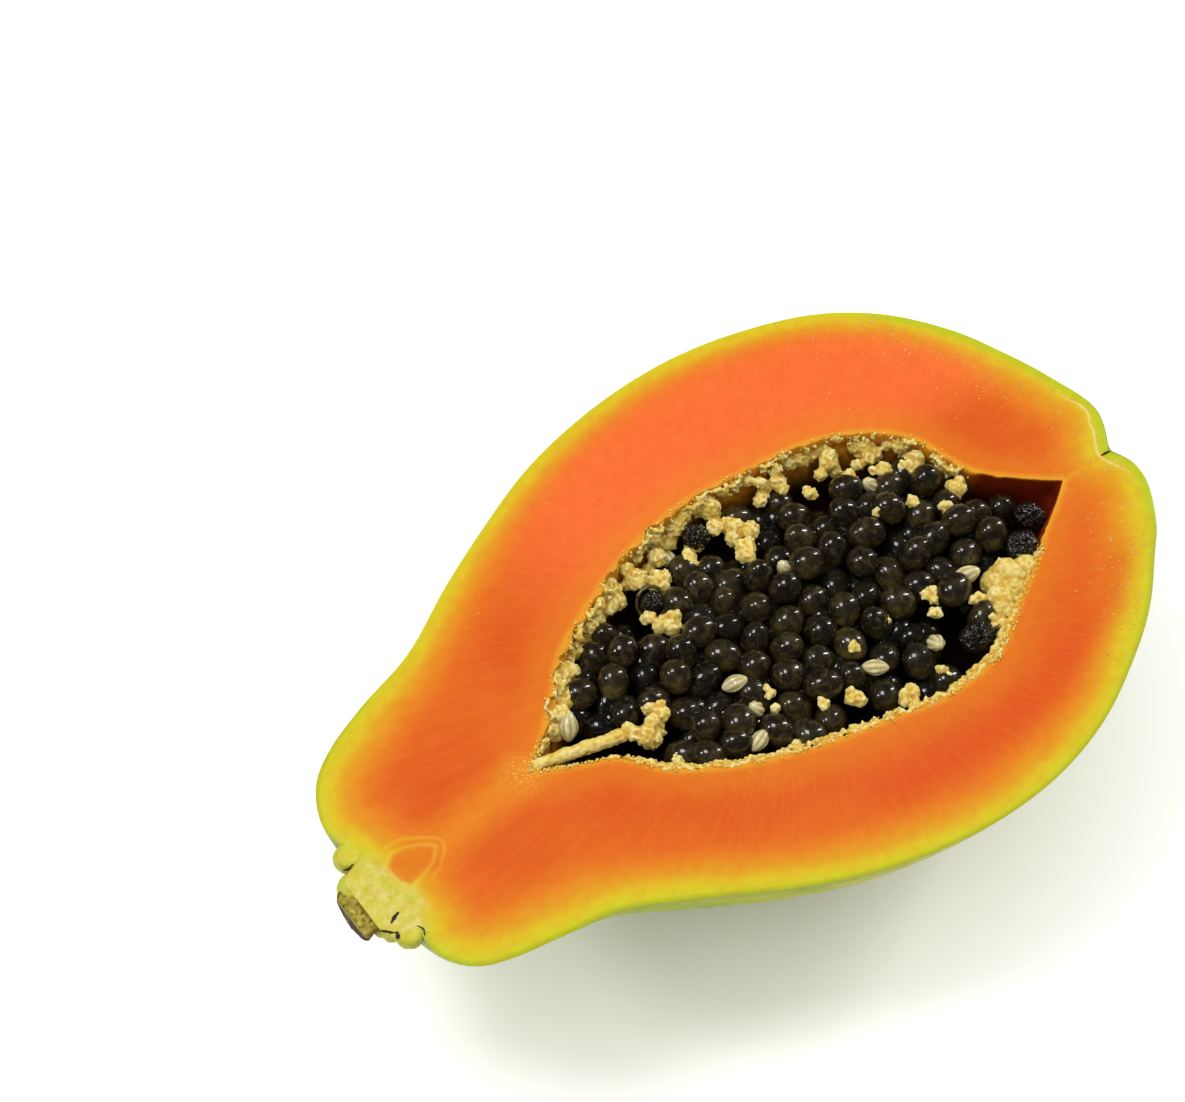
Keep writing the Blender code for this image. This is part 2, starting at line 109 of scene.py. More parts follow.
# Seeds and the pulp strands between them, placed by the same rule as the solids
STRANDS = [
    ((34.5, 0.5), (47.5, -3.2), 1.15), ((47.5, -3.2), (55.0, -5.4), 2.1),
    ((63.0, 19.5), (69.7, 9.2), 1.9), ((72.5, 23.0), (73.2, 18.2), 2.2),
    ((86.0, 24.0), (88.4, 13.4), 2.4), ((106.0, 22.0), (105.4, 15.7), 2.0),
    ((112.0, 20.0), (115.0, 14.8), 2.2), ((118.5, -21.0), (120.0, -16.5), 2.5),
    ((122.0, -19.0), (117.5, -15.5), 2.2), ((107.0, -27.5), (105.5, -14.5), 1.7),
    ((84.0, -26.0), (84.5, -20.5), 1.8),
]
WALL_LUMPS = 46
LUMP_STEP = 1.1
NODE_GAP = 0.35
HEAP_TOP = -2.3
FAR_DROP = 4.2
FAR_DROP_FROM, FAR_DROP_WIDTH = 6.0, 15.0
EDGE_DROP, EDGE_DROP_WIDTH = 2.4, 3.5
SEED_LONG = 3.0
SEED_ROUND = 2.65
SEED_PITCH = 6.3
SEED_SHIFT = 1.3
SEED_RISE = (-1.4, 1.6)
SEED_CLOSEST = 3.4
SHAKES = 40
SEED_WALL_GAP = 0.5
PALE_LONG = 2.4
PALE_ROUND = 1.5
PALE_PLACES = [
    (78.4, 21.0), (90.7, 5.6), (70.4, -6.6), (70.3, -12.4), (101.6, -20.4), (44.3, 3.5), (114.0, -13.5),
    (67.3, -17.0), (90.7, -18.0), (113.5, 10.5),
]
PALE_RISE = 0.6
CORE_BELOW_HEAP = 1.9

# Camera
TARGET = Vector((66.77, 27.0, 0.0))
BACK = Vector((-0.3189, -0.4232, 0.8480))
DISTANCE = 500.0
LENS = 91.1
SENSOR_WIDTH = 36.0


def smooth(low, high, x):
    """0 at low and before it, 1 at high and past it, with an even curve between them."""
    t = np.clip((x - low) / (high - low), 0.0, 1.0)
    return t * t * (3 - 2 * t)


def on_spline(points, share):
    """The point at this share, 0 to 1, of the smooth curve through the points."""
    place = min(max(share, 0.0), 1.0) * (len(points) - 1)
    i = min(int(place), len(points) - 2)
    t = place - i
    before, start = points[max(i - 1, 0)], points[i]
    end, after = points[i + 1], points[min(i + 2, len(points) - 1)]
    bend = 2 * before - 5 * start + 4 * end - after
    twist = 3 * (start - end) + after - before
    return start + 0.5 * t * ((end - before) + t * (bend + t * twist))


def rails(start, far, near, keel, end):
    return [[Vector((*point, 0)[:3]) for point in (start, *side, end)] for side in (far, near, keel)]


BODY = rails(STEM_RECESS, BODY_FAR, BODY_NEAR, BODY_KEEL, BLOSSOM_RECESS)
CAVITY = rails(CAVITY_TIP, CAVITY_FAR, CAVITY_NEAR, CAVITY_KEEL, CAVITY_CORNER)
COLLAR = rails((COLLAR_END, *SCAR_PLACE), COLLAR_FAR, COLLAR_NEAR, COLLAR_KEEL, COLLAR_ROOT)


def outline(three_rails, count):
    """The cut outline as a ring of 2 x count points: the far rail out, the near rail back."""
    ring = [on_spline(three_rails[0], i / count) for i in range(count + 1)]
    ring += [on_spline(three_rails[1], i / count) for i in range(count - 1, 0, -1)]
    return ring


BODY_RING = outline(BODY, 160)
COLLAR_RING = outline(COLLAR, 24)
CAVITY_EDGE = outline(CAVITY, 40)
CAVITY_RING = outline(CAVITY, 80)

# From the fruit's own measures to the frame: the middle of the cut outline is the middle of the box
low_corner, high_corner = (Vector(corner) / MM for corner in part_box("flesh"))
across_fruit = [p.y for p in BODY_RING]
SHIFT = Vector((
    low_corner.x - COLLAR_END, (low_corner.y + high_corner.y - min(across_fruit) - max(across_fruit)) / 2,
    low_corner.z - REST_LEVEL,
))


def wall_distance(x, y):
    """How far this place of the cut plane lies inside the cavity's edge, below 0 outside it."""
    place = Vector((x, y, 0))
    nearest, inside = 1e9, False
    for a, b in zip(CAVITY_EDGE, CAVITY_EDGE[1:] + CAVITY_EDGE[:1]):
        along = b - a
        share = min(max((place - a).dot(along) / along.dot(along), 0), 1)
        nearest = min(nearest, (a + share * along - place).length)
        if (a.y > y) != (b.y > y) and x < a.x + (y - a.y) * along.x / along.y:
            inside = not inside
    return nearest if inside else -nearest


def ring_distance(points, ring):
    """Distance in the cut plane of many points from a closed ring, above 0 inside it."""
    ring = np.array([(p[0], p[1]) for p in ring])
    a, b = ring, np.roll(ring, -1, axis=0)
    nearest = np.full(len(points), 1e9)
    inside = np.zeros(len(points), bool)
    for start, end in zip(a, b):
        along = end - start
        away = points[:, :2] - start
        share = np.clip(away @ along / (along @ along + 1e-12), 0, 1)
        nearest = np.minimum(nearest, np.linalg.norm(away - share[:, None] * along, axis=1))
        if start[1] != end[1]:
            crossed = (start[1] > points[:, 1]) != (end[1] > points[:, 1])
            reach = start[0] + (points[:, 1] - start[1]) * along[0] / along[1]
            inside ^= crossed & (points[:, 0] < reach)
    return np.where(inside, nearest, -nearest)


def heap_level(x, y):
    """Height of the seed heap's middle surface: a little below the cut, lower by the far wall."""
    far_drop = FAR_DROP * min(max((y - FAR_DROP_FROM) / FAR_DROP_WIDTH, 0.0), 1.0)
    edge_drop = EDGE_DROP * math.exp(-max(wall_distance(x, y), 0.0) / EDGE_DROP_WIDTH)
    return HEAP_TOP - far_drop - edge_drop


def core_level(x, y):
    return heap_level(x, y) - CORE_BELOW_HEAP


def inward_step(place):
    """The way from the cavity's wall towards its middle, as long as the step it is measured over."""
    room = wall_distance(place.x, place.y)
    step = 0.5
    slope_x = wall_distance(place.x + step, place.y) - room
    slope_y = wall_distance(place.x, place.y + step) - room
    return Vector((slope_x, slope_y, 0))


def wobble(points, scale, seed=0.0):
    """Smooth noise of about -1 to 1 at each point, with lumps of about this size in mm."""
    shift = Vector((seed, 3.7 * seed, -1.9 * seed))
    return np.array([noise.noise(Vector(p) / scale + shift) for p in points])


def to_middle(place):
    """The way from this place of the cut plane towards the cavity's middle, 1 mm long."""
    return Vector((CAVITY_MIDDLE[0] - place.x, CAVITY_MIDDLE[1] - place.y, 0)).normalized()


def put_marks(mesh, marks):
    """Gives each point of the mesh the numbers that the materials read by name."""
    for key, values in marks.items():
        layer = mesh.attributes.new(key, "FLOAT", "POINT")
        layer.data.foreach_set("value", np.asarray(values, np.float32))


def new_piece(name, points, faces, nodes=(), materials=(), marks=None):
    """One mesh from points in fruit millimetres, with its marks as point attributes."""
    mesh = bpy.data.meshes.new(name)
    moved = (np.asarray(points, float) + np.array(SHIFT)) * MM
    mesh.from_pydata(moved.tolist(), [], faces)
    mesh.update()
    put_marks(mesh, marks or {})
    for material in materials:
        mesh.materials.append(material)
    mesh.shade_smooth()
    obj = bpy.data.objects.new(name, mesh)
    bpy.context.scene.collection.objects.link(obj)
    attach(obj, "root")
    if nodes:
        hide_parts(*nodes)
    return obj


def new_cluster(name, shapes, base_faces, node, materials=(), marks=None):
    """One mesh of many like bodies, each given by its own points and all with the same faces."""
    size = len(shapes[0])
    faces = np.concatenate([base_faces + size * index for index in range(len(shapes))])
    return new_piece(name, np.concatenate(shapes), faces.tolist(), (node,), materials, marks)


# Nodes


class Nodes:
    """Short calls for building one material's node tree."""

    def __init__(self, name):
        self.material = bpy.data.materials.new(name)
        self.material.use_nodes = True
        self.tree = self.material.node_tree
        self.shader = self.tree.nodes["Principled BSDF"]
        self.shader.inputs["IOR"].default_value = 1.38

    def new(self, kind, **settings):
        node = self.tree.nodes.new(kind)
        for key, value in settings.items():
            setattr(node, key, value)
        return node

    def link(self, source, target):
        self.tree.links.new(source, target)

    def put(self, socket, value):
        if isinstance(value, bpy.types.NodeSocket):
            self.link(value, socket)
        else:
            socket.default_value = value

    def mark(self, name):
        return self.new("ShaderNodeAttribute", attribute_name=name).outputs["Fac"]

    def place(self, stretch=(1, 1, 1)):
        """The place on the object in millimetres, drawn out by these factors."""
        node = self.new("ShaderNodeMapping")
        self.link(self.new("ShaderNodeTexCoord").outputs["Object"], node.inputs["Vector"])
        node.inputs["Scale"].default_value = [s / MM for s in stretch]
        return node.outputs["Vector"]

    def noise(self, size, place=None, detail=3.0, rough=0.55, warp=0.0):
        node = self.new("ShaderNodeTexNoise")
        self.link(place or self.place(), node.inputs["Vector"])
        node.inputs["Scale"].default_value = 1.0 / size
        node.inputs["Detail"].default_value = detail
        node.inputs["Roughness"].default_value = rough
        node.inputs["Distortion"].default_value = warp
        return node.outputs["Fac"]

    def cells(self, size, place=None, feature="F1"):
        node = self.new("ShaderNodeTexVoronoi", feature=feature)
        self.link(place or self.place(), node.inputs["Vector"])
        node.inputs["Scale"].default_value = 1.0 / size
        return node.outputs["Distance"]

    def math(self, kind, a, b=0.0, c=0.0, clamp=False):
        node = self.new("ShaderNodeMath", operation=kind, use_clamp=clamp)
        for socket, value in zip(node.inputs, (a, b, c)):
            self.put(socket, value)
        return node.outputs[0]

    def span(self, value, low, high, to_low=0.0, to_high=1.0):
        """Smoothly from to_low where the value is low to to_high where it is high."""
        node = self.new("ShaderNodeMapRange", interpolation_type="SMOOTHSTEP")
        self.put(node.inputs["Value"], value)
        for key, number in (("From Min", low), ("From Max", high), ("To Min", to_low), ("To Max", to_high)):
            node.inputs[key].default_value = number
        return node.outputs["Result"]

    def ramp(self, value, stops):
        node = self.new("ShaderNodeValToRGB")
        self.put(node.inputs["Fac"], value)
        elements = node.color_ramp.elements
        while len(elements) < len(stops):
            elements.new(0.5)
        for element, (spot, colour) in zip(elements, stops):
            element.position = spot
            element.color = (*colour, 1)
        return node.outputs["Color"]

    def mix(self, factor, a, b, kind="MIX"):
        node = self.new("ShaderNodeMix", data_type="RGBA", blend_type=kind)
        self.put(node.inputs[0], factor)
        for socket, value in ((node.inputs[6], a), (node.inputs[7], b)):
            self.put(socket, (*value, 1) if isinstance(value, tuple) else value)
        return node.outputs[2]

    def bump(self, height, distance, strength=1.0, after=None):
        """A bump whose full height is this distance in millimetres."""
        node = self.new("ShaderNodeBump")
        self.put(node.inputs["Height"], height)
        node.inputs["Distance"].default_value = distance * MM
        node.inputs["Strength"].default_value = strength
        if after is not None:
            self.link(after, node.inputs["Normal"])
        return node.outputs["Normal"]

    def finish(self, colour, roughness, normal=None, **sockets):
        self.put(self.shader.inputs["Base Color"], colour)
        self.put(self.shader.inputs["Roughness"], roughness)
        if normal is not None:
            self.link(normal, self.shader.inputs["Normal"])
        for key, value in sockets.items():
            self.put(self.shader.inputs[key.replace("_", " ")], value)
        return self.material


def flesh_material():
    """Cut face: salmon orange that fades through yellow to a green line at the rind."""
    n = Nodes("cut_flesh")
    rim, hole, near = n.mark("rim"), n.mark("hole"), n.mark("near")
    streak, line, eye, wall = n.mark("streak"), n.mark("line"), n.mark("eye"), n.mark("wall")
    patchy = n.noise(9.0, detail=3)
    rim_shift = n.math("MULTIPLY_ADD", patchy, 2.4, -1.2)
    rim_wide = n.math("ADD", n.mark("shell"), n.math("MULTIPLY", rim_shift, n.span(rim, 0.5, 3.0)))
    share = n.mix(near, n.math("MULTIPLY_ADD", rim_wide, 1 / 14.0, 0.045), n.math("DIVIDE", rim_wide, 16.0))
    fade = n.ramp(share, [
        (0.0, (0.24, 0.33, 0.003)), (0.05, (0.43, 0.42, 0.006)), (0.15, (0.50, 0.36, 0.005)),
        (0.25, (0.52, 0.240, 0.003)), (0.40, (0.54, 0.150, 0.002)), (0.58, (0.53, 0.095, 0.0015)),
        (1.0, (0.50, 0.066, 0.001)),
    ])
    deep = n.ramp(n.noise(16.0, detail=2), [(0.3, (0.53, 0.090, 0.003)), (0.7, (0.49, 0.058, 0.001))])
    body = n.mix(n.span(rim, 6.0, 14.0, 0.0, 0.75), fade, deep)
    far_pink = n.math("MULTIPLY", n.span(n.mark("far"), 0.0, 1.0), n.span(rim, 2.0, 8.0))
    body = n.mix(n.math("MULTIPLY", far_pink, 0.85), body, (0.66, 0.110, 0.020))
    around_hole = n.span(hole, 0.5, 8.0, 1.0, 0.0)
    body = n.mix(n.math("MULTIPLY", around_hole, 0.6), body, (0.54, 0.155, 0.002))
    edge_line = n.span(hole, 0.1, 1.4, 1.0, 0.0)
    body = n.mix(n.math("MULTIPLY", edge_line, 0.8), body, (0.56, 0.26, 0.010))
    body = n.mix(n.math("MULTIPLY", streak, 0.5), body, (0.50, 0.037, 0.001))
    body = n.mix(n.math("MULTIPLY", line, 0.6), body, (0.55, 0.25, 0.006))
    body = n.mix(n.math("MULTIPLY", n.mark("path"), 0.6), body, (0.57, 0.21, 0.003))
    pith = n.ramp(n.noise(1.4, detail=4, rough=0.65), [
        (0.3, (0.38, 0.37, 0.020)), (0.5, (0.45, 0.42, 0.060)), (0.7, (0.52, 0.49, 0.16)),
    ])
    body = n.mix(n.mark("pith"), body, pith)
    ring_gap = n.math("ABSOLUTE", n.math("ADD", eye, 0.55))
    loop_gap = n.math("ABSOLUTE", n.math("ADD", eye, n.span(n.noise(3.0, detail=2), 0.3, 0.7, 1.7, 2.1)))
    body = n.mix(n.span(ring_gap, 0.05, 0.5, 0.35, 0.0), body, (0.56, 0.40, 0.020))
    loop = n.math("MULTIPLY", n.span(loop_gap, 0.05, 0.50, 0.35, 0.0), n.mark("loop"))
    body = n.mix(loop, body, (0.56, 0.38, 0.015))
    body = n.mix(n.span(eye, -0.4, 0.5, 0.0, 0.85), body, (0.51, 0.130, 0.001))
    specks = n.math("MULTIPLY", n.mark("specks"), n.span(n.noise(0.38, detail=2), 0.54, 0.66, 0.0, 0.6))
    body = n.mix(specks, body, (0.64, 0.42, 0.12))
    peel = n.math("MULTIPLY", n.mark("peel"), n.span(rim, 0.7, 2.2, 1.0, 0.0))
    body = n.mix(peel, body, (0.31, 0.41, 0.004))
    # partly the pale membrane at the rind and partly a painted highlight: a pale line about 2 mm in from the
    # rind by the blossom notch, where the wet cut edge shines
    highlight_line_gap = n.math("ABSOLUTE", n.math("SUBTRACT", rim, n.span(n.noise(4.0), 0.3, 0.7, 1.7, 2.5)))
    wet = n.math("MULTIPLY", n.mark("wet"), n.span(highlight_line_gap, 0.08, 0.40, 0.55, 0.0))
    body = n.mix(wet, body, (0.58, 0.58, 0.26))
    fibre_place = n.new("ShaderNodeCombineXYZ")
    for socket, key, factor in zip(fibre_place.inputs, ("ray_x", "ray_y", "rim"), (55.0, 55.0, 0.14)):
        n.link(n.math("MULTIPLY", n.mark(key), factor), socket)
    fibre = n.noise(0.9, fibre_place.outputs["Vector"], detail=4, rough=0.65)
    fibre = n.span(fibre, 0.3, 0.7)
    tint = n.mix(n.math("MULTIPLY", fibre, 0.09), body, (0.62, 0.24, 0.030))
    mottled = n.mix(n.span(n.noise(2.2, detail=4), 0.35, 0.75, 0.0, 0.16), tint, (0.46, 0.052, 0.001))
    hollow = n.ramp(n.noise(2.4, detail=4), [
        (0.30, (0.22, 0.045, 0.001)), (0.5, (0.44, 0.145, 0.005)), (0.68, (0.56, 0.270, 0.025)),
    ])
    hollow = n.mix(n.mark("corner"), hollow, (0.13, 0.011, 0.001))
    # painted shade: the cavity wall goes near black deep down
    hollow = n.mix(n.mark("deep"), hollow, (0.012, 0.004, 0.001))
    colour = n.mix(wall, mottled, hollow)
    grain = n.noise(0.35, detail=3, rough=0.6)
    normal = n.bump(grain, 0.08, 0.6)
    normal = n.bump(fibre, 0.08, 0.5, normal)
    normal = n.bump(n.noise(3.0, detail=2), 0.4, 0.3, normal)
    rough = n.span(n.noise(1.3, detail=3), 0.35, 0.7, 0.34, 0.52)
    return n.finish(
        colour, rough, normal, Coat_Weight=0.05, Coat_Roughness=0.15, Subsurface_Weight=0.2,
        Subsurface_Radius=(1.0, 0.35, 0.08), Subsurface_Scale=0.001, Specular_IOR_Level=0.22,
    )


def rind_material():
    """Skin: yellow green with yellow blotches, fine pale dots, a greener, browner underside and painted shade
    darkening its creases.
    """
    n = Nodes("rind")
    depth = n.mark("depth")
    blotch = n.noise(26.0, detail=3, rough=0.5, warp=0.6)
    base = n.ramp(blotch, [
        (0.30, (0.17, 0.25, 0.003)), (0.45, (0.28, 0.35, 0.003)), (0.58, (0.38, 0.38, 0.003)),
        (0.75, (0.45, 0.34, 0.002)),
    ])
    streaks = n.noise(5.0, n.place((0.18, 1, 1)), detail=4)
    base = n.mix(n.span(streaks, 0.35, 0.75, 0.0, 0.3), base, (0.18, 0.26, 0.003))
    base = n.mix(n.span(depth, 0.0, 5.0, 0.65, 0.0), base, (0.27, 0.29, 0.004))
    dots = n.span(n.cells(1.5), 0.10, 0.20, 0.35, 0.0)
    base = n.mix(dots, base, (0.43, 0.43, 0.08))
    scuff = n.math("MULTIPLY", n.span(n.noise(4.5, detail=5, rough=0.7), 0.64, 0.74), 0.5)
    base = n.mix(scuff, base, (0.29, 0.18, 0.04))
    base = n.mix(n.math("MULTIPLY", n.mark("pale"), 0.8), base, (0.46, 0.46, 0.08))
    # painted shade: the rind is darkened in its creases by the stem and the blossom notch, and lower down on
    # the collar
    dark = n.mix(n.mark("crease_shade"), base, (0.20, 0.20, 0.012))
    normal = n.bump(n.noise(0.9, detail=4), 0.05, 0.5)
    normal = n.bump(n.noise(7.0, detail=3), 0.7, 0.35, normal)
    rough = n.span(n.noise(3.0, detail=3), 0.3, 0.7, 0.32, 0.50)
    return n.finish(
        dark, rough, normal, Coat_Weight=0.03, Coat_Roughness=0.25, Subsurface_Weight=0.12,
        Subsurface_Radius=(0.6, 0.5, 0.1), Subsurface_Scale=0.001, Specular_IOR_Level=0.14,
    )


def pulp_material():
    """Placental pulp: crumbly cream tips, yellow lumps and orange creases between the crumbs."""
    n = Nodes("pulp")
    tone = n.ramp(n.noise(2.6, detail=3), [
        (0.30, (0.55, 0.38, 0.040)), (0.50, (0.62, 0.49, 0.120)), (0.70, (0.67, 0.58, 0.24)),
    ])
    crease = n.ramp(n.noise(1.8, detail=3), [(0.35, (0.50, 0.25, 0.018)), (0.65, (0.58, 0.38, 0.070))])
    colour = n.mix(n.mark("bulge"), crease, tone)
    cream = n.math("MULTIPLY", n.mark("tip"), n.span(n.noise(0.5, detail=3), 0.38, 0.62))
    colour = n.mix(n.math("MULTIPLY", cream, 0.85), colour, (0.70, 0.62, 0.34))
    # painted shade: the pulp is darkened deep in the cavity
    dark = n.ramp(n.noise(2.0, detail=3), [(0.35, (0.20, 0.050, 0.001)), (0.65, (0.38, 0.17, 0.012))])
    colour = n.mix(n.span(n.mark("deep"), 0.0, 1.0, 0.0, 0.9), colour, dark)
    normal = n.bump(n.noise(0.45, detail=4, rough=0.65), 0.30, 1.0)
    rough = n.span(n.noise(0.9, detail=2), 0.35, 0.65, 0.3, 0.55)
    return n.finish(
        colour, rough, normal, Coat_Weight=0.12, Coat_Roughness=0.15, Subsurface_Weight=0.35,
        Subsurface_Radius=(1.0, 0.6, 0.2), Subsurface_Scale=0.0010, Specular_IOR_Level=0.35,
    )


def grain_material():
    """Sugary grains along the torn edge of the cavity."""
    n = Nodes("edge_grains")
    tone = n.ramp(n.noise(0.7, detail=2), [
        (0.32, (0.60, 0.28, 0.015)), (0.52, (0.64, 0.40, 0.060)), (0.70, (0.70, 0.56, 0.24)),
    ])
    rough = n.span(n.noise(0.9, detail=2), 0.35, 0.65, 0.4, 0.6)
    return n.finish(
        tone, rough, n.bump(n.noise(0.2), 0.04, 0.6), Subsurface_Weight=0.4,
        Subsurface_Radius=(1.0, 0.6, 0.2), Subsurface_Scale=0.0006, Specular_IOR_Level=0.3,
    )


def seed_material():
    """Wet seed: a black core that shows through a brown, mottled, glassy skin, with an olive tint, a painted
    glow of light through the skin on its lower side, and painted shade on the seeds that lie low.
    """
    n = Nodes("wet_seed")
    mottle = n.noise(1.5, detail=4, rough=0.6, warp=0.8)
    tone = n.ramp(mottle, [
        (0.36, (0.0025, 0.0018, 0.001)), (0.52, (0.011, 0.0075, 0.003)), (0.62, (0.030, 0.020, 0.007)),
        (0.76, (0.085, 0.060, 0.020)),
    ])
    # olive tint of the glassy skin that differs at random, and painted glow: the seed's lower side is lit
    # olive as if light came through the skin
    tint_and_painted_glow = n.math("MULTIPLY", n.mark("olive_and_painted_glow"), n.span(n.noise(2.2, detail=3), 0.34, 0.66, 0.15, 1.0))
    colour = n.mix(tint_and_painted_glow, tone, (0.105, 0.078, 0.018))
    # painted shade: seeds lying low in the heap go near black; some seeds and the crushed ones are darker in
    # tone
    colour = n.mix(n.mark("painted_shade_and_dark_tone"), colour, (0.002, 0.0015, 0.001))
    normal = n.bump(n.noise(1.1, detail=2, rough=0.5, warp=0.8), 0.22, 0.6)
    rough = n.span(n.noise(0.8, detail=2), 0.3, 0.7, 0.18, 0.36)
    return n.finish(
        colour, rough, normal, Coat_Weight=1.0, Coat_Roughness=0.03, Coat_IOR=1.45, Specular_IOR_Level=0.25,
    )


def pale_seed_material():
    n = Nodes("pale_seed")
    tone = n.ramp(n.noise(1.2, detail=3), [(0.3, (0.38, 0.32, 0.12)), (0.7, (0.60, 0.55, 0.33))])
    colour = n.mix(n.mark("furrow"), tone, (0.24, 0.155, 0.03))
    normal = n.bump(n.noise(0.35, detail=2), 0.05, 0.6)
    rough = n.span(n.noise(0.8, detail=2), 0.3, 0.7, 0.2, 0.38)
    return n.finish(
        colour, rough, normal, Coat_Weight=0.7, Coat_Roughness=0.06, Subsurface_Weight=0.3,
        Subsurface_Radius=(1.0, 0.8, 0.4), Subsurface_Scale=0.0008,
    )


def cork_material():
    """Broken stalk: olive tan, with torn fibres and a dark brown lower edge."""
    n = Nodes("cork")
    grain = n.noise(0.9, n.place((1, 1, 1.8)), detail=5, rough=0.7)
    tone = n.ramp(grain, [
        (0.28, (0.06, 0.036, 0.004)), (0.42, (0.21, 0.16, 0.018)), (0.56, (0.36, 0.30, 0.05)),
        (0.72, (0.52, 0.46, 0.16)),
    ])
    colour = n.mix(n.span(n.noise(2.6, detail=2), 0.45, 0.65, 0.0, 0.5), tone, (0.22, 0.13, 0.02))
    dark = n.math("MULTIPLY", n.mark("low"), n.span(n.noise(1.2, detail=3), 0.3, 0.6, 0.6, 1.0))
    colour = n.mix(dark, colour, (0.028, 0.012, 0.003))
    normal = n.bump(n.noise(0.5, detail=4), 0.35, 0.9)
    normal = n.bump(n.cells(1.2), 0.4, 0.6, normal)
    return n.finish(colour, n.span(grain, 0.3, 0.7, 0.5, 0.8), normal, Specular_IOR_Level=0.1)


def crack_material():
    n = Nodes("crack")
    tone = n.ramp(n.noise(0.5, detail=3), [(0.35, (0.006, 0.004, 0.001)), (0.7, (0.05, 0.028, 0.006))])
    return n.finish(tone, n.span(n.noise(0.4), 0.3, 0.7, 0.5, 0.8), n.bump(n.noise(0.3), 0.08, 0.8))


def juice_material():
    n = Nodes("juice")
    # paler and yellower than the flesh: the juice's own tone, lifted partly as a painted glint
    tone = n.ramp(n.noise(2.0), [(0.3, (0.62, 0.28, 0.04)), (0.7, (0.78, 0.54, 0.20))])
    rough = n.span(n.noise(1.0), 0.3, 0.7, 0.02, 0.06)
    normal = n.bump(n.noise(0.6), 0.01, 0.4)
    return n.finish(tone, rough, normal, Coat_Weight=1.0, Coat_Roughness=0.02)


# Flesh and rind


def section_point(three_rails, share, turn, slopes=(0.0, 0.0), ridge=0.0):
    """A point of the section at this share of the rails, with the turn from 0 (far) to pi (near)."""
    far_slope, near_slope = slopes
    far, near, keel = (on_spline(rail, share) for rail in three_rails)
    middle, half = (far + near) / 2, (far - near) / 2
    part = turn / math.pi
    bend = far_slope + part * (math.pi - far_slope - near_slope)
    base = (1 - part) * math.sin(far_slope) + part * math.sin(near_slope)
    reach = (1 - part) * math.cos(far_slope) + part * math.cos(near_slope)
    depth = (math.sin(bend) - base) / (1 - base)
    rim = middle + half * math.cos(bend) / reach
    wave = (math.cos(RIDGE_COUNT * (bend - math.pi / 2)) - 1) / 2 * math.sin(bend) ** 2
    place = rim + (keel - middle) * depth
    return middle + (place - middle) * (1 + ridge * wave)


RIM_STEPS = 300
SKIN_ROWS = 110
FACE_RINGS = 58
FACE_CROWDING = 0.85
LIP_RINGS = 4
LIP_DEPTH = 0.9
LIP_INSET = 0.25
WALL_RINGS = 26
WALL_STATIONS = 120


def face_rim(place):
    """Distance from the rind of each point of the cut face, the collar and lobes counted in."""
    body = ring_distance(place, BODY_RING)
    collar = ring_distance(place, COLLAR_RING)
    collar = np.where(place[:, 0] > 6.0, np.minimum(collar, body), collar)
    best = np.maximum(body, collar)
    for (x, y, z), radius in STEM_LOBES:
        cut = math.sqrt(max(radius * radius - z * z, 0.01))
        best = np.maximum(best, cut - np.hypot(place[:, 0] - x, place[:, 1] - y))
    return best


def path_distance(place, path):
    """Distance of each point in the cut plane from an open path, and the share along it."""
    path = np.array(path, float)
    nearest = np.full(len(place), 1e9)
    shares = np.zeros(len(place))
    for i, (start, end) in enumerate(zip(path, path[1:])):
        along = end - start
        away = place[:, :2] - start
        t = np.clip(away @ along / (along @ along), 0, 1)
        gap = np.linalg.norm(away - t[:, None] * along, axis=1)
        shares = np.where(gap < nearest, (i + t) / (len(path) - 1), shares)
        nearest = np.minimum(nearest, gap)
    return nearest, shares


def soft_line(place, path, width):
    """1 on the path, fading to 0 at this distance from it and towards its two ends."""
    gap, share = path_distance(place, path)
    ends = np.minimum(smooth(0.0, 0.15, share), smooth(1.0, 0.85, share))
    return smooth(width, 0.0, gap) * ends


EYE = [
    (6.0, -0.2), (8.0, 0.9), (10.0, 0.5), (12.1, -0.5), (13.6, -1.8), (11.9, -3.4), (9.3, -4.4), (7.3, -4.9),
    (6.2, -3.1),
]
PITH = [
    (-6.0, 4.0), (2.2, 3.7), (4.4, 2.4), (5.4, 0.0), (5.8, -3.0), (7.0, -5.6), (6.4, -8.4), (4.8, -11.0),
    (3.0, -12.6), (-6.0, -14.0),
]


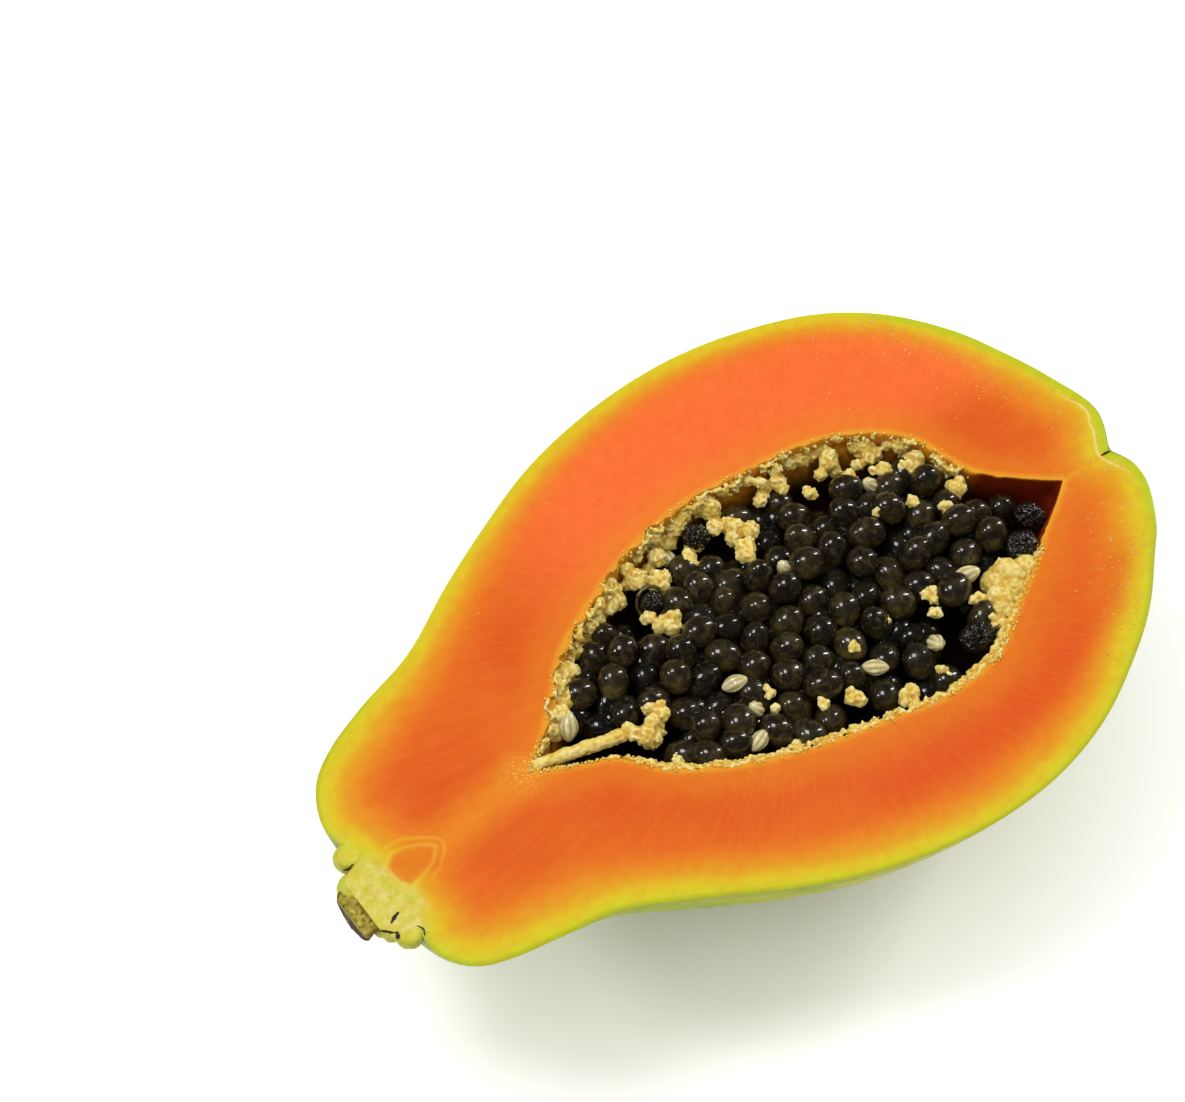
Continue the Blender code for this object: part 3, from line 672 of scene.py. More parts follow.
def face_marks(place):
    """What the flesh material reads at each point of the cut face."""
    rim = face_rim(place)
    hole = -ring_distance(place, CAVITY_RING)
    x, y = place[:, 0], place[:, 1]
    stem = smooth(34.0, 16.0, x)
    eye = ring_distance(place, EYE)
    corner_line = soft_line(place, [(137.5, -9.6), (143.0, -9.8), (149.5, -9.9)], 0.9)
    tip_gap = np.hypot(x - 33.0, y - 0.4)
    ray = place[:, :2] - np.array(CAVITY_MIDDLE)
    ray = ray / (np.linalg.norm(ray, axis=1)[:, None] + 1e-9)
    blossom = smooth(128.0, 140.0, x) * smooth(-30.0, -20.0, y)
    shell = rim * (1 - 0.30 * smooth(110.0, 140.0, x) - 0.22 * smooth(50.0, 25.0, x))
    return {
        "shell": shell,
        "ray_x": ray[:, 0], "ray_y": ray[:, 1], "rim": rim, "hole": hole,
        "near": np.maximum(smooth(6.0, -14.0, y), 0.8 * stem),
        "far": smooth(5.0, 25.0, y) * smooth(40.0, 75.0, x),
        "streak": soft_line(place, [(143, -22), (130, -31), (112, -38.5), (90, -39.5), (70, -35)], 5.0),
        "line": corner_line,
        "eye": np.clip(eye, -6.0, 3.0), "loop": smooth(-9.0, -3.0, y) * smooth(4.5, 8.0, x),
        "path": soft_line(place, [(10.0, -2.0), (20.0, -1.4), (28.0, -0.2), (37.0, 0.8)], 6.5),
        "specks": smooth(5.5, 1.0, tip_gap), "pith": smooth(-2.4, 1.0, ring_distance(place, PITH)),
        # wet: the blossom end by the notch, where the pale line of painted highlight runs
        "peel": 0.85 * blossom, "wet": smooth(12.0, 5.0, np.abs(y + 6.0)) * blossom,
    }


def ragged_edge(x, y):
    """How far the cavity's edge is moved in: torn in bites on the far side by the stem, fine elsewhere."""
    torn = float(smooth(100.0, 60.0, x) * smooth(-2.0, 6.0, y))
    spot = Vector((x, y, 0.0))
    rough = (0.45 + 0.5 * torn) * noise.noise(spot / 2.1) + 0.28 * noise.noise(spot / 0.8)
    rough += 1.5 * torn * noise.noise(spot / 5.0 + Vector((2.0, 0.0, 0.0)))
    corner = smooth(139.5, 128.0, x)
    return float(rough * corner)


FINE_EDGE = np.array([(p.x, p.y) for p in outline(CAVITY, 90)])
CAVITY_TABLE = [
    np.array([on_spline(rail, s / WALL_STATIONS) for s in range(WALL_STATIONS + 1)]) for rail in CAVITY
]


def edge_crossing(direction):
    """Where the ray from the cavity's middle crosses the cavity's edge."""
    middle = np.array(CAVITY_MIDDLE)
    best = None
    for a, b in zip(FINE_EDGE, np.roll(FINE_EDGE, -1, axis=0)):
        along = b - a
        cross = direction[0] * along[1] - direction[1] * along[0]
        if abs(cross) < 1e-12:
            continue
        away = a - middle
        t = (away[0] * along[1] - away[1] * along[0]) / cross
        s = (away[0] * direction[1] - away[1] * direction[0]) / cross
        if t > 0 and -1e-9 <= s <= 1 + 1e-9 and (best is None or t < best):
            best = t
    return best


def cavity_depth(x, y):
    """Depth of the cavity's wall below this place of the cut plane."""
    far, near, keel = CAVITY_TABLE
    middle = (far + near) / 2
    i = min(max(np.searchsorted(middle[:, 0], x), 1), WALL_STATIONS)
    t = np.clip((x - middle[i - 1, 0]) / (middle[i, 0] - middle[i - 1, 0] + 1e-9), 0, 1)
    far, near, keel, middle = (row[i - 1] + t * (row[i] - row[i - 1]) for row in (far, near, keel, middle))
    side = (y - middle[1]) / (max(far[1] - near[1], 0.02) / 2)
    return float(-keel[2] * math.sqrt(max(1 - side * side, 0.0)))


def make_flesh():
    """Rind, cut face, torn cavity edge and cavity wall as one closed mesh."""
    ring = outline(BODY, RIM_STEPS)
    count = len(ring)
    points = [tuple(p) for p in ring]
    kind = ["rim"] * count
    middle = np.array(CAVITY_MIDDLE)
    rays = []
    for p in ring:
        way = np.array((p.x, p.y)) - middle
        way /= np.linalg.norm(way)
        reach = edge_crossing(way)
        edge = middle + way * reach
        rays.append((way, reach, edge, ragged_edge(edge[0], edge[1])))
    rows = [list(range(count))]
    for step in range(1, FACE_RINGS + 1):
        share = (step / FACE_RINGS) ** FACE_CROWDING
        row = []
        for p, (way, _reach, edge, torn) in zip(ring, rays):
            outer = np.array((p.x, p.y))
            at = outer + (edge - way * torn - outer) * share
            row.append(len(points))
            points.append((at[0], at[1], 0.0))
        rows.append(row)
        kind += ["face"] * count
    for step in range(1, LIP_RINGS + WALL_RINGS + 1):
        row = []
        for way, reach, edge, torn in rays:
            if step <= LIP_RINGS:
                drop = step / LIP_RINGS
                at = edge - way * (torn + LIP_INSET * drop)
                z = -LIP_DEPTH * drop ** 1.5
            else:
                turn = 0.5 * math.pi * (step - LIP_RINGS) / WALL_RINGS
                away = reach * max(math.cos(turn), 0.0) * 0.995
                at = middle + way * away
                z = -max(cavity_depth(at[0], at[1]), LIP_DEPTH)
            row.append(len(points))
            points.append((at[0], at[1], z))
        rows.append(row)
        kind += ["wall"] * count
    faces = []
    for upper, lower in zip(rows, rows[1:]):
        for i in range(count):
            j = (i + 1) % count
            faces.append((upper[i], upper[j], lower[j], lower[i]))
    face_count = len(faces)
    half = count // 2
    skin_rows = []
    for share_index in range(half + 1):
        share = share_index / half
        if share_index in (0, half):
            skin_rows.append([share_index] * (SKIN_ROWS + 1))
            continue
        row = [share_index]
        for step in range(1, SKIN_ROWS):
            place = section_point(BODY, share, math.pi * step / SKIN_ROWS, RIM_SLOPES, RIDGE_DEPTH)
            row.append(len(points))
            points.append(tuple(place))
            kind.append("skin")
        row.append(count - share_index)
        skin_rows.append(row)
    for before, after in zip(skin_rows, skin_rows[1:]):
        for step in range(SKIN_ROWS):
            quad = (before[step], after[step], after[step + 1], before[step + 1])
            unique = tuple(dict.fromkeys(quad))
            if len(unique) > 2:
                faces.append(unique)
    points = np.array(points, float)
    kind = np.array(kind)
    marks = face_marks(points)
    marks["hole"] = np.where(kind == "wall", 0.0, marks["hole"])
    marks["corner"] = smooth(122.0, 130.0, points[:, 0])
    start = -0.6 + 0.6 * marks["corner"]
    fade = np.clip((start - points[:, 2]) / (1.9 - 1.5 * marks["corner"]), 0, 1)
    marks["wall"] = np.where(kind == "wall", fade, 0.0)
    # where the wall is darkened as painted shade, from 5 to 10 mm deep
    marks["deep"] = smooth(-5.0, -10.0, points[:, 2])
    marks["depth"] = -points[:, 2]
    marks["crease_shade"] = crease_shade_marks(points)
    face_points = kind == "face"
    lift = 0.10 * wobble(points[face_points], 7.0) + 0.05 * wobble(points[face_points], 1.6)
    points[face_points, 2] += lift * smooth(0.0, 2.0, marks["rim"][face_points])
    rim_drop = smooth(0.8, 0.0, marks["rim"][face_points]) * 0.12
    points[face_points, 2] -= rim_drop
    points[:count, 2] -= 0.22 * smooth(-0.4, 1.2, -ring_distance(points[:count], COLLAR_RING))
    wall_points = kind == "wall"
    rough = 0.5 * wobble(points[wall_points], 2.4) + 0.3 * wobble(points[wall_points], 0.9)
    inward = np.column_stack([middle[0] - points[wall_points, 0], middle[1] - points[wall_points, 1]])
    inward /= np.linalg.norm(inward, axis=1)[:, None] + 1e-9
    off_middle = np.abs(points[wall_points, :2] - middle).sum(axis=1)
    amount = rough * smooth(-0.4, -2.0, points[wall_points, 2]) * smooth(0.5, 6.0, off_middle)
    points[wall_points, 0] += inward[:, 0] * amount
    points[wall_points, 1] += inward[:, 1] * amount
    points[:, 2] = np.maximum(points[:, 2], REST_LEVEL)
    obj = new_piece("flesh_body", points, faces, ("flesh",), (FLESH, RIND), marks)
    indices = np.zeros(len(faces), np.int32)
    indices[face_count:] = 1
    obj.data.polygons.foreach_set("material_index", indices)
    ends = np.empty(2 * len(obj.data.edges), np.int32)
    obj.data.edges.foreach_get("vertices", ends)
    cut = obj.data.attributes.new("sharp_edge", "BOOLEAN", "EDGE")
    cut.data.foreach_set("value", (ends.reshape(-1, 2) < count).all(axis=1))
    return obj


def crease_shade_marks(points):
    """Painted shade in the creases of the rind where it runs into the stem recess and the blossom notch."""
    stem = np.linalg.norm(points - np.array((4.5, -6.5, -3.0)), axis=1)
    notch = np.linalg.norm(points - np.array((149.8, -9.8, 0.0)), axis=1)
    far_fold = np.linalg.norm((points - np.array((2.4, 8.6, -2.6))) / np.array((1.6, 2.6, 1.4)), axis=1)
    creases = smooth(9.0, 4.0, stem) * 0.6 + smooth(2.2, 0.2, notch) * 0.8 + smooth(1.3, 0.4, far_fold) * 0.7
    return np.clip(creases, 0, 1)


def make_collar():
    """The collar round the stalk, a closed body cut level."""
    points, faces, kinds = [], [], []

    def grid(rows):
        for before, after in zip(rows, rows[1:]):
            for i in range(len(before) - 1):
                unique = tuple(dict.fromkeys((before[i], before[i + 1], after[i + 1], after[i])))
                if len(unique) > 2:
                    faces.append(unique)

    stations, around = 40, 36
    under, top = [], []
    for s in range(stations + 1):
        share = min(max(s / stations, 0.002), 0.998)
        row_under, row_top = [], []
        for step in range(around + 1):
            place = section_point(COLLAR, share, math.pi * step / around)
            place.z -= 1.1 * smooth(4.0, 10.0, place.x)
            swell = 1 + 0.05 * noise.noise(place / 2.0)
            row_under.append(len(points))
            points.append((place.x, place.y, place.z * swell))
            kinds.append(0.0)
        for step in range(around + 1):
            rim_a = section_point(COLLAR, share, 0.0)
            rim_b = section_point(COLLAR, share, math.pi)
            at = rim_a.lerp(rim_b, step / around)
            inner = smooth(4.2, 10.0, at.x)
            bulge = math.sin(math.pi * step / around)
            z = 0.13 - 1.1 * inner - 0.30 * (1 - min(1.0, 5 * bulge))
            row_top.append(len(points))
            points.append((at.x, at.y, z))
            kinds.append(1.0)
        under.append(row_under)
        top.append(row_top)
    grid(under)
    grid([list(reversed(row)) for row in top])
    points = np.array(points)
    marks = face_marks(points)
    marks["wall"] = np.zeros(len(points))
    marks["depth"] = -points[:, 2]
    # painted shade: the collar's rind darkens lower down
    marks["crease_shade"] = 0.35 * smooth(-1.0, -4.0, points[:, 2])
    marks["pale"] = smooth(-4.0, -0.5, points[:, 2])
    obj = new_piece("stalk_collar", points, faces, ("flesh",), (FLESH, RIND), marks)
    top_faces = np.array([all(kinds[v] > 0.5 for v in face) for face in faces])
    obj.data.polygons.foreach_set("material_index", np.where(top_faces, 0, 1).astype(np.int32))
    return obj


def make_lobes():
    """The small round lobes beside the collar, cut flat where they reach the cut."""
    for index, ((x, y, z), radius) in enumerate(STEM_LOBES + COLLAR_BUMPS):
        bm = bmesh.new()
        bmesh.ops.create_icosphere(bm, subdivisions=4, radius=radius)
        points = []
        for vertex in bm.verts:
            place = vertex.co * (1 + 0.09 * noise.noise(vertex.co / 1.3 + Vector((index, 0, 0))))
            place += Vector((x, y, z))
            over = max(place.z + 0.5, 0.0)
            place.z = min(place.z, -0.5) + 0.58 * (1 - math.exp(-over / 0.4))
            points.append(tuple(place))
        faces = [tuple(v.index for v in face.verts) for face in bm.faces]
        bm.free()
        points = np.array(points)
        marks = face_marks(points)
        marks["shell"] = np.minimum(marks["rim"], 0.9)
        marks["pith"] = np.full(len(points), 0.45)
        new_piece(f"stem_lobe_{index}", points, faces, ("flesh",), (FLESH, RIND), marks)


def make_scar():
    """Corky broken end of the stalk: a half disc with an uneven edge and a smooth outer face."""
    bm = bmesh.new()
    bmesh.ops.create_icosphere(bm, subdivisions=6, radius=1.0)
    points = []
    for vertex in bm.verts:
        p = vertex.co.copy()
        across = math.hypot(p.y, p.z)
        out = -math.copysign(min(abs(p.x) * 1.6, 1.0), p.x) * (0.77 if p.x < 0 else 1.3)
        radius = SCAR_RADIUS * min(across * 1.06, 1.0)
        turn = math.atan2(p.z, p.y)
        edge = 1 + 0.09 * noise.noise(Vector((3 * math.cos(turn), 3 * math.sin(turn), 0.5)))
        edge += 0.05 * noise.noise(Vector((11 * math.cos(turn), 11 * math.sin(turn), 3.5)))
        y = SCAR_PLACE[0] + radius * edge * math.cos(turn)
        z = SCAR_PLACE[1] + radius * edge * math.sin(turn)
        x = COLLAR_END - 1.05 + out
        spot = Vector((x, y, z))
        rough = 0.55 * noise.noise(spot / 1.1) + 0.4 * noise.noise(spot / 0.45)
        if p.x < 0:
            hollow = 0.45 * smooth(3.6, 0.5, radius)
            slant = 1.5 * float(smooth(-0.4, -4.0, z))
            x += rough * 1.1 + hollow - slant + 0.75
        z += 0.3 * noise.noise(spot / 0.7 + Vector((9, 0, 0))) - 1.1 * float(smooth(0.3, 2.2, COLLAR_END - x))
        z = min(z, -0.25 + 0.4 * noise.noise(spot / 0.6 + Vector((0, 5, 0))))
        points.append((min(x, COLLAR_END + 0.1), y, z))
    faces = [tuple(v.index for v in face.verts) for face in bm.faces]
    bm.free()
    points = np.array(points)
    from_middle = np.hypot(points[:, 1] - SCAR_PLACE[0], points[:, 2] - SCAR_PLACE[1])
    low = np.maximum(smooth(-0.9, -2.6, points[:, 2]), 0.5 * smooth(3.9, 4.6, from_middle))
    return new_piece("stalk_scar_cork", points, faces, ("stalk_scar",), (CORK,), {"low": low})


CRACKS = [
    ([(0.1, 3.5), (0.6, 3.2), (1.2, 3.1), (2.0, 3.4)], 0.20),
    ([(0.9, -8.6), (1.6, -8.2), (2.3, -7.9), (3.1, -7.7)], 0.34),
    ([(-1.2, -8.5), (-0.5, -9.1), (0.2, -9.9), (0.9, -10.4)], 0.22),
    ([(0.9, -10.2), (0.6, -10.9), (0.2, -11.3)], 0.36),
    ([(3.9, -11.2), (4.4, -12.3), (3.9, -13.4)], 0.13),
    ([(147.4, -9.8), (148.4, -9.9), (149.2, -10.0)], 0.20),
]


def make_cracks():
    """Dark splits in the cut collar, in its crease and in the blossom notch, flush with the cut."""
    points, faces = [], []
    for path, width in CRACKS:
        path = [Vector((x, y, 0.0)) for x, y in path]
        steps, around = 26, 10
        first = len(points)
        for step in range(steps + 1):
            share = step / steps
            place = on_spline(path, share)
            ahead = on_spline(path, min(share + 0.03, 1.0)) - on_spline(path, max(share - 0.03, 0.0))
            side = Vector((-ahead.y, ahead.x, 0.0)).normalized()
            thick = width * math.sin(math.pi * min(max(share, 0.04), 0.96)) ** 0.6
            thick *= 1 + 0.6 * noise.noise(place / 0.35)
            for turn in range(around):
                angle = 2 * math.pi * turn / around
                across = side * math.cos(angle) * thick
                points.append(tuple(place + across + Vector((0, 0, 0.09 * math.sin(angle) + 0.10))))
        for step in range(steps):
            for turn in range(around):
                a, b = first + step * around + turn, first + step * around + (turn + 1) % around
                faces.append((a, b, b + around, a + around))
        faces.append(tuple(range(first, first + around)))
        faces.append(tuple(reversed(range(first + steps * around, first + (steps + 1) * around))))
    return new_piece("stem_cracks", points, faces, ("flesh",), (CRACK,))


# Seeds and pulp


def pulp_places():
    """Place and radius of each pulp crumb of the solids: along the cavity's wall and the strands."""
    chance = random.Random(SEED_NUMBER)
    found = []
    for index in range(WALL_LUMPS):
        edge = CAVITY_EDGE[round(index * len(CAVITY_EDGE) / WALL_LUMPS) % len(CAVITY_EDGE)]
        radius = chance.uniform(1.0, 1.8)
        if 37 < edge.x < 122:
            found.append((edge + Vector((0, 0, -chance.uniform(radius, 3.0))), radius))
    for start, end, radius in STRANDS:
        start, end = Vector((*start, 0)), Vector((*end, 0))
        steps = max(2, math.ceil((end - start).length / (LUMP_STEP * radius)))
        for step in range(steps + 1):
            place = start.lerp(end, step / steps)
            size = radius * chance.uniform(0.9, 1.15)
            level = core_level(place.x, place.y) + NODE_GAP + 1.15 * size
            place.z = min(level, -0.7 * size)
            found.append((place, size))
    return found


def seed_room(height):
    return SEED_LONG + SEED_WALL_GAP + 0.3 * max(0.0, -height - 3.0)


def seed_places(pulp):
    """Centres of the black seeds: a staggered grid over the heap, shaken and then pushed apart."""
    chance = random.Random(SEED_NUMBER)
    row_height = SEED_PITCH * math.sqrt(3) / 2
    seeds = []
    for row in range(-6, 7):
        for column in range(20):
            x = CAVITY_TIP[0] + (column + 0.5 * (row % 2)) * SEED_PITCH
            x += chance.uniform(-SEED_SHIFT, SEED_SHIFT)
            y = row * row_height + chance.uniform(-SEED_SHIFT, SEED_SHIFT)
            height = chance.uniform(*SEED_RISE)
            if wall_distance(x, y) > 1.0:
                seeds.append((Vector((x, y, heap_level(x, y) + height)), height))
    crumbs = [(place, radius + SEED_LONG + NODE_GAP) for place, radius in pulp]
    crumbs += [(Vector((x, y, heap_level(x, y))), PALE_ROUND + SEED_ROUND - 0.6) for x, y in PALE_PLACES]
    for shake in range(SHAKES):
        strength = 0.35 * (1 - shake / (SHAKES - 1))
        for i, (seed, height) in enumerate(seeds):
            push = Vector()
            for j, (other, _height) in enumerate(seeds):
                away = seed - other
                if i != j and away.length < SEED_PITCH:
                    push += away.normalized() * (SEED_PITCH - away.length) * strength
            for crumb, reach in crumbs:
                away = seed - crumb
                if away.length < reach + 0.1:
                    push += away.normalized() * (reach + 0.15 - away.length)
            seed.x += push.x
            seed.y += push.y
            lack = seed_room(seed.z) - wall_distance(seed.x, seed.y)
            if lack > 0:
                seed += 2 * lack * inward_step(seed)
            seed.z = heap_level(seed.x, seed.y) + height
    kept = []
    for seed, _height in seeds:
        clear = all((seed - crumb).length > reach - 0.1 for crumb, reach in crumbs[: len(pulp)])
        apart = all((seed - other).length > SEED_CLOSEST for other in kept)
        if clear and apart and wall_distance(seed.x, seed.y) > seed_room(seed.z) - 0.1:
            kept.append(seed)
    return kept


def ball(detail):
    bm = bmesh.new()
    bmesh.ops.create_icosphere(bm, subdivisions=detail, radius=1)
    points = np.array([tuple(v.co) for v in bm.verts])
    faces = np.array([[v.index for v in f.verts] for f in bm.faces])
    bm.free()
    return points, faces


def turned(rng):
    """A random turn as a matrix."""
    axis = Vector(rng.normal(size=3)).normalized()
    spin = axis.to_track_quat("Z", "Y")
    return np.array(spin.to_matrix())


# The lower side of the seeds, where a painted glow of light through their skin is laid.
PAINTED_GLOW_SIDE = -np.array((0.51, 0.677, 0.53))


def make_seeds(name, places, rng):
    """Many seeds in one mesh, each an ovoid with one end narrower and faint dents."""
    base, base_faces = ball(3)
    shapes, olive_and_painted_glow, painted_shade_and_dark_tone = [], [], []
    for place in places:
        long = SEED_LONG * rng.uniform(1.0, 1.17)
        wide = SEED_ROUND * rng.uniform(0.96, 1.08)
        taper = 1 - 0.12 * base[:, 2:3] * rng.uniform(0.2, 1.0)
        shape = base * np.array((wide, wide * rng.uniform(0.93, 1.05), long))
        shape[:, :2] *= taper
        swell = 1 + 0.03 * wobble(base * 1.6, 1.0, float(rng.uniform(0, 50)))
        shape = (shape * swell[:, None]) @ turned(rng).T
        normal = shape / np.linalg.norm(shape, axis=1)[:, None]
        shapes.append(shape + np.array(place))
        brightness = rng.uniform(0.15, 1.0)
        # painted glow on the seed's lower side, plus an olive tint that differs at random from seed to seed
        olive_and_painted_glow.append(smooth(0.1, 0.95, normal @ PAINTED_GLOW_SIDE) * brightness + 0.25 * brightness ** 2)
        below = heap_level(place[0], place[1]) - place[2]
        # painted shade for seeds sunk below the heap's surface, plus a darker tone for about one seed in five
        painted_shade_and_dark_tone.append(np.full(len(shape), float(smooth(0.4, 3.2, below)) * 0.85 + 0.3 * (rng.uniform() < 0.2)))
    return new_cluster(
        name, shapes, base_faces, "seed_mass", (SEED,),
        {"olive_and_painted_glow": np.concatenate(olive_and_painted_glow), "painted_shade_and_dark_tone": np.clip(np.concatenate(painted_shade_and_dark_tone), 0, 1)},
    )


def make_black_seeds(rng):
    """The seeds on top, some sunk a little, and a lower layer in the gaps between them."""
    upper = []
    for p in seed_places(pulp_places()):
        if all(math.hypot(p.x - x, p.y - y) > CRUSHED_ROOM for x, y, _rise, _radius in CRUSHED):
            upper.append(p)
    sunk = [(p.x, p.y, p.z - (0.0 if rng.uniform() < 0.6 else rng.uniform(0.8, 2.6))) for p in upper]
    make_seeds("black_seeds", sunk, rng)
    lower = []
    for p in upper:
        x, y = p.x + rng.uniform(2.0, 3.4), p.y + rng.uniform(-3.0, 3.0)
        if wall_distance(x, y) > LOWER_WALL_GAP:
            lower.append((x, y, heap_level(x, y) - LOWER_DROP + rng.uniform(-0.6, 0.6)))
    make_seeds("lower_seeds", lower, rng)


def make_pale_seeds(rng):
    """Unripe seeds: small, ribbed and pointed at both ends."""
    base, base_faces = ball(4)
    shapes, furrows = [], []
    for x, y in PALE_PLACES:
        turn_angle = np.arctan2(base[:, 1], base[:, 0])
        ribs = np.cos(turn_angle * 7 + 1.5 * base[:, 2]) * (1 - base[:, 2] ** 2)
        point = (1.0 - 0.22 * np.abs(base[:, 2]) ** 1.5) * (1 + 0.06 * ribs)
        shape = base * np.array((PALE_ROUND, 0.9 * PALE_ROUND, 1.04 * PALE_LONG))
        shape[:, :2] *= point[:, None]
        shape *= rng.uniform(0.86, 1.04)
        shape = shape @ turned(rng).T
        shapes.append(shape + np.array((x, y, heap_level(x, y) + PALE_RISE + 0.5)))
        furrows.append(smooth(0.0, -0.9, ribs) * 0.7)
    return new_cluster(
        "pale_seeds", shapes, base_faces, "seed_mass", (PALE,), {"furrow": np.concatenate(furrows)}
    )


# Seeds that were cut or crushed where the knife passed: place, height over the heap and radius
CRUSHED = [
    (125.4, -14.8, 1.9, 2.7), (130.6, -11.0, 1.3, 2.6), (107.9, -23.6, 1.3, 2.8), (84.1, 21.0, 3.0, 2.4),
    (69.8, 14.7, 1.6, 2.0),
]
CUT_SEED = 4
CRUSHED_ROOM = 3.2
LOWER_WALL_GAP = 4.2
LOWER_DROP = 3.6


def make_crushed_seeds(rng):
    """Black seeds with the skin torn off, rough and spiny."""
    base, base_faces = ball(5)
    shapes = []
    for x, y, rise, radius in CRUSHED:
        jitter = float(rng.uniform(0, 50))
        spines = 1 - np.abs(wobble(base * 3.4, 1.0, jitter))
        shape = base * radius * np.array((1.0, 0.92, 0.82)) * (0.72 + 0.42 * spines ** 3)[:, None]
        shape *= (1 + 0.14 * wobble(base * 1.3, 1.0, jitter + 9))[:, None]
        shapes.append(shape @ turned(rng).T + np.array((x, y, heap_level(x, y) + rise)))
    count = len(base) * len(shapes)
    return new_cluster(
        "crushed_seeds", shapes, base_faces, "seed_mass", (SEED,),
        {"olive_and_painted_glow": np.zeros(count), "painted_shade_and_dark_tone": np.full(count, 0.5)},
    )


def make_cut_seed():
    """The cut glassy skin that stands as a ring round one black core."""
    x, y, rise, radius = CRUSHED[CUT_SEED]
    middle = Vector((x, y, heap_level(x, y) + rise))
    upright = Vector((-0.30, -0.40, 0.87))
    first = upright.cross(Vector((0, 0, 1))).normalized()
    second = upright.cross(first)
    points, faces, olive_and_painted_glow = [], [], []
    around, across = 60, 14
    for i in range(around):
        angle = 2 * math.pi * i / around
        out = first * math.cos(angle) + second * math.sin(angle) * 1.1
        ring = (radius + 0.42) * (1 + 0.04 * noise.noise(out * 2))
        for j in range(across):
            turn = 2 * math.pi * j / across
            thick = 0.34 + 0.10 * noise.noise(out * 3)
            away = out * (ring + thick * math.cos(turn)) + upright * (1.5 * thick * math.sin(turn) - 0.3)
            points.append(tuple(middle + away))
            olive_and_painted_glow.append(0.9)
            a, b = i * across + j, i * across + (j + 1) % across
            c, d = (i + 1) % around * across + (j + 1) % across, (i + 1) % around * across + j
            faces.append((a, d, c, b))
    return new_piece(
        "cut_seed_skin", points, faces, ("seed_mass",), (SEED,),
        {"olive_and_painted_glow": olive_and_painted_glow, "painted_shade_and_dark_tone": np.zeros(len(points))},
    )


# Lumps of pulp: place, radius and how crumbly the lump is
CLUMPS = [
    (88.2, 13.6, 2.5, 1.0), (91.0, 17.6, 2.9, 0.8), (89.0, 21.5, 2.9, 1.0), (105.0, 16.4, 1.7, 0.5),
    (110.4, 13.2, 2.3, 1.0), (110.8, 17.6, 2.6, 1.0), (116.8, 15.8, 2.6, 1.0), (117.2, 11.9, 2.0, 1.0),
    (122.0, 9.4, 2.2, 0.6), (73.3, 18.0, 2.2, 1.0), (70.4, 20.4, 2.0, 0.8), (80.9, 17.8, 2.1, 1.0),
    (84.0, 20.6, 2.0, 1.0), (50.4, 11.6, 2.9, 1.0), (47.6, 9.0, 2.4, 1.0), (54.0, 14.4, 2.3, 1.0),
    (44.6, 6.4, 1.8, 1.0), (59.4, 18.0, 2.7, 1.0), (62.5, 18.4, 2.2, 1.0), (66.5, 20.2, 2.2, 0.8), (69.2, 9.6, 2.4, 0.6),
    (67.2, 11.8, 1.6, 0.9), (102.2, 21.0, 2.3, 1.0), (98.5, 20.6, 1.9, 1.0), (110.2, 4.4, 1.5, 1.2),
    (116.4, 2.6, 1.4, 1.2), (119.7, -1.0, 1.5, 1.2), (124.6, 1.2, 1.8, 0.2), (106.6, -13.6, 1.9, 0.7),
    (104.8, -16.0, 1.3, 0.5), (112.6, -18.2, 1.4, 1.0), (97.4, -12.2, 1.1, 1.0), (90.4, -13.0, 1.1, 1.0),
    (118.8, -18.8, 3.6, 0.05), (121.6, -17.2, 2.8, 0.08), (116.0, -21.0, 2.6, 0.15), (112.4, -22.6, 2.0, 0.6),
    (73.8, -11.4, 1.2, 1.0), (72.6, -14.0, 1.0, 0.8), (84.3, -20.5, 1.7, 1.0), (79.3, -18.3, 1.2, 1.0),
    (92.0, -25.5, 1.9, 1.0), (99.2, -25.4, 1.5, 1.0), (71.8, -21.4, 1.3, 1.0), (54.2, -4.8, 3.2, 1.0),
    (57.0, -3.4, 2.4, 0.9), (51.4, -3.8, 1.7, 0.9), (54.6, -11.8, 0.9, 0.8),
]
CRUMB_VOXEL = 0.23
WALL_BEADS = 3600
TIP_STRAND = Vector((34.6, 0.9, -0.9)), Vector((50.0, -3.1, -1.5))
TIP_STEPS = 60
GRAIN_TRIES = 1300
JUICE_TRIES = 26000


def wall_beads(edge, rng):
    """Place and radius of the small beads of pulp along the cavity's edge."""
    spots = []
    lengths = np.cumsum([0] + [(b - a).length for a, b in zip(edge, edge[1:] + edge[:1])])
    for _ in range(WALL_BEADS):
        at = rng.uniform(0, lengths[-1])
        place = edge[min(max(int(np.searchsorted(lengths, at)) - 1, 0), len(edge) - 1)]
        if place.x > 127 or (place.x < 37.0 and rng.uniform() < 0.6):
            continue
        thick = float(smooth(-0.25, 0.45, noise.noise(place / 4.0 + Vector((3, 1, 0)))))
        near_side = place.y < -8
        if not near_side and rng.uniform() > 0.12 + 0.88 * thick:
            continue
        inward = to_middle(place)
        place = place + inward * ragged_edge(place.x, place.y)
        down = abs(rng.normal(0, 1.6)) * (0.35 + 1.3 * thick)
        radius = rng.uniform(0.22, 0.44) * (0.85 + 0.35 * thick)
        reach = 1.6 if near_side else 0.5 + 1.3 * thick
        inset = rng.uniform(-0.2, reach)
        if near_side:
            down = 0.35 * inset + abs(rng.normal(0, 0.7))
        spots.append((place + inward * inset + Vector((0, 0, -down - 0.3 * radius)), radius))
    return spots


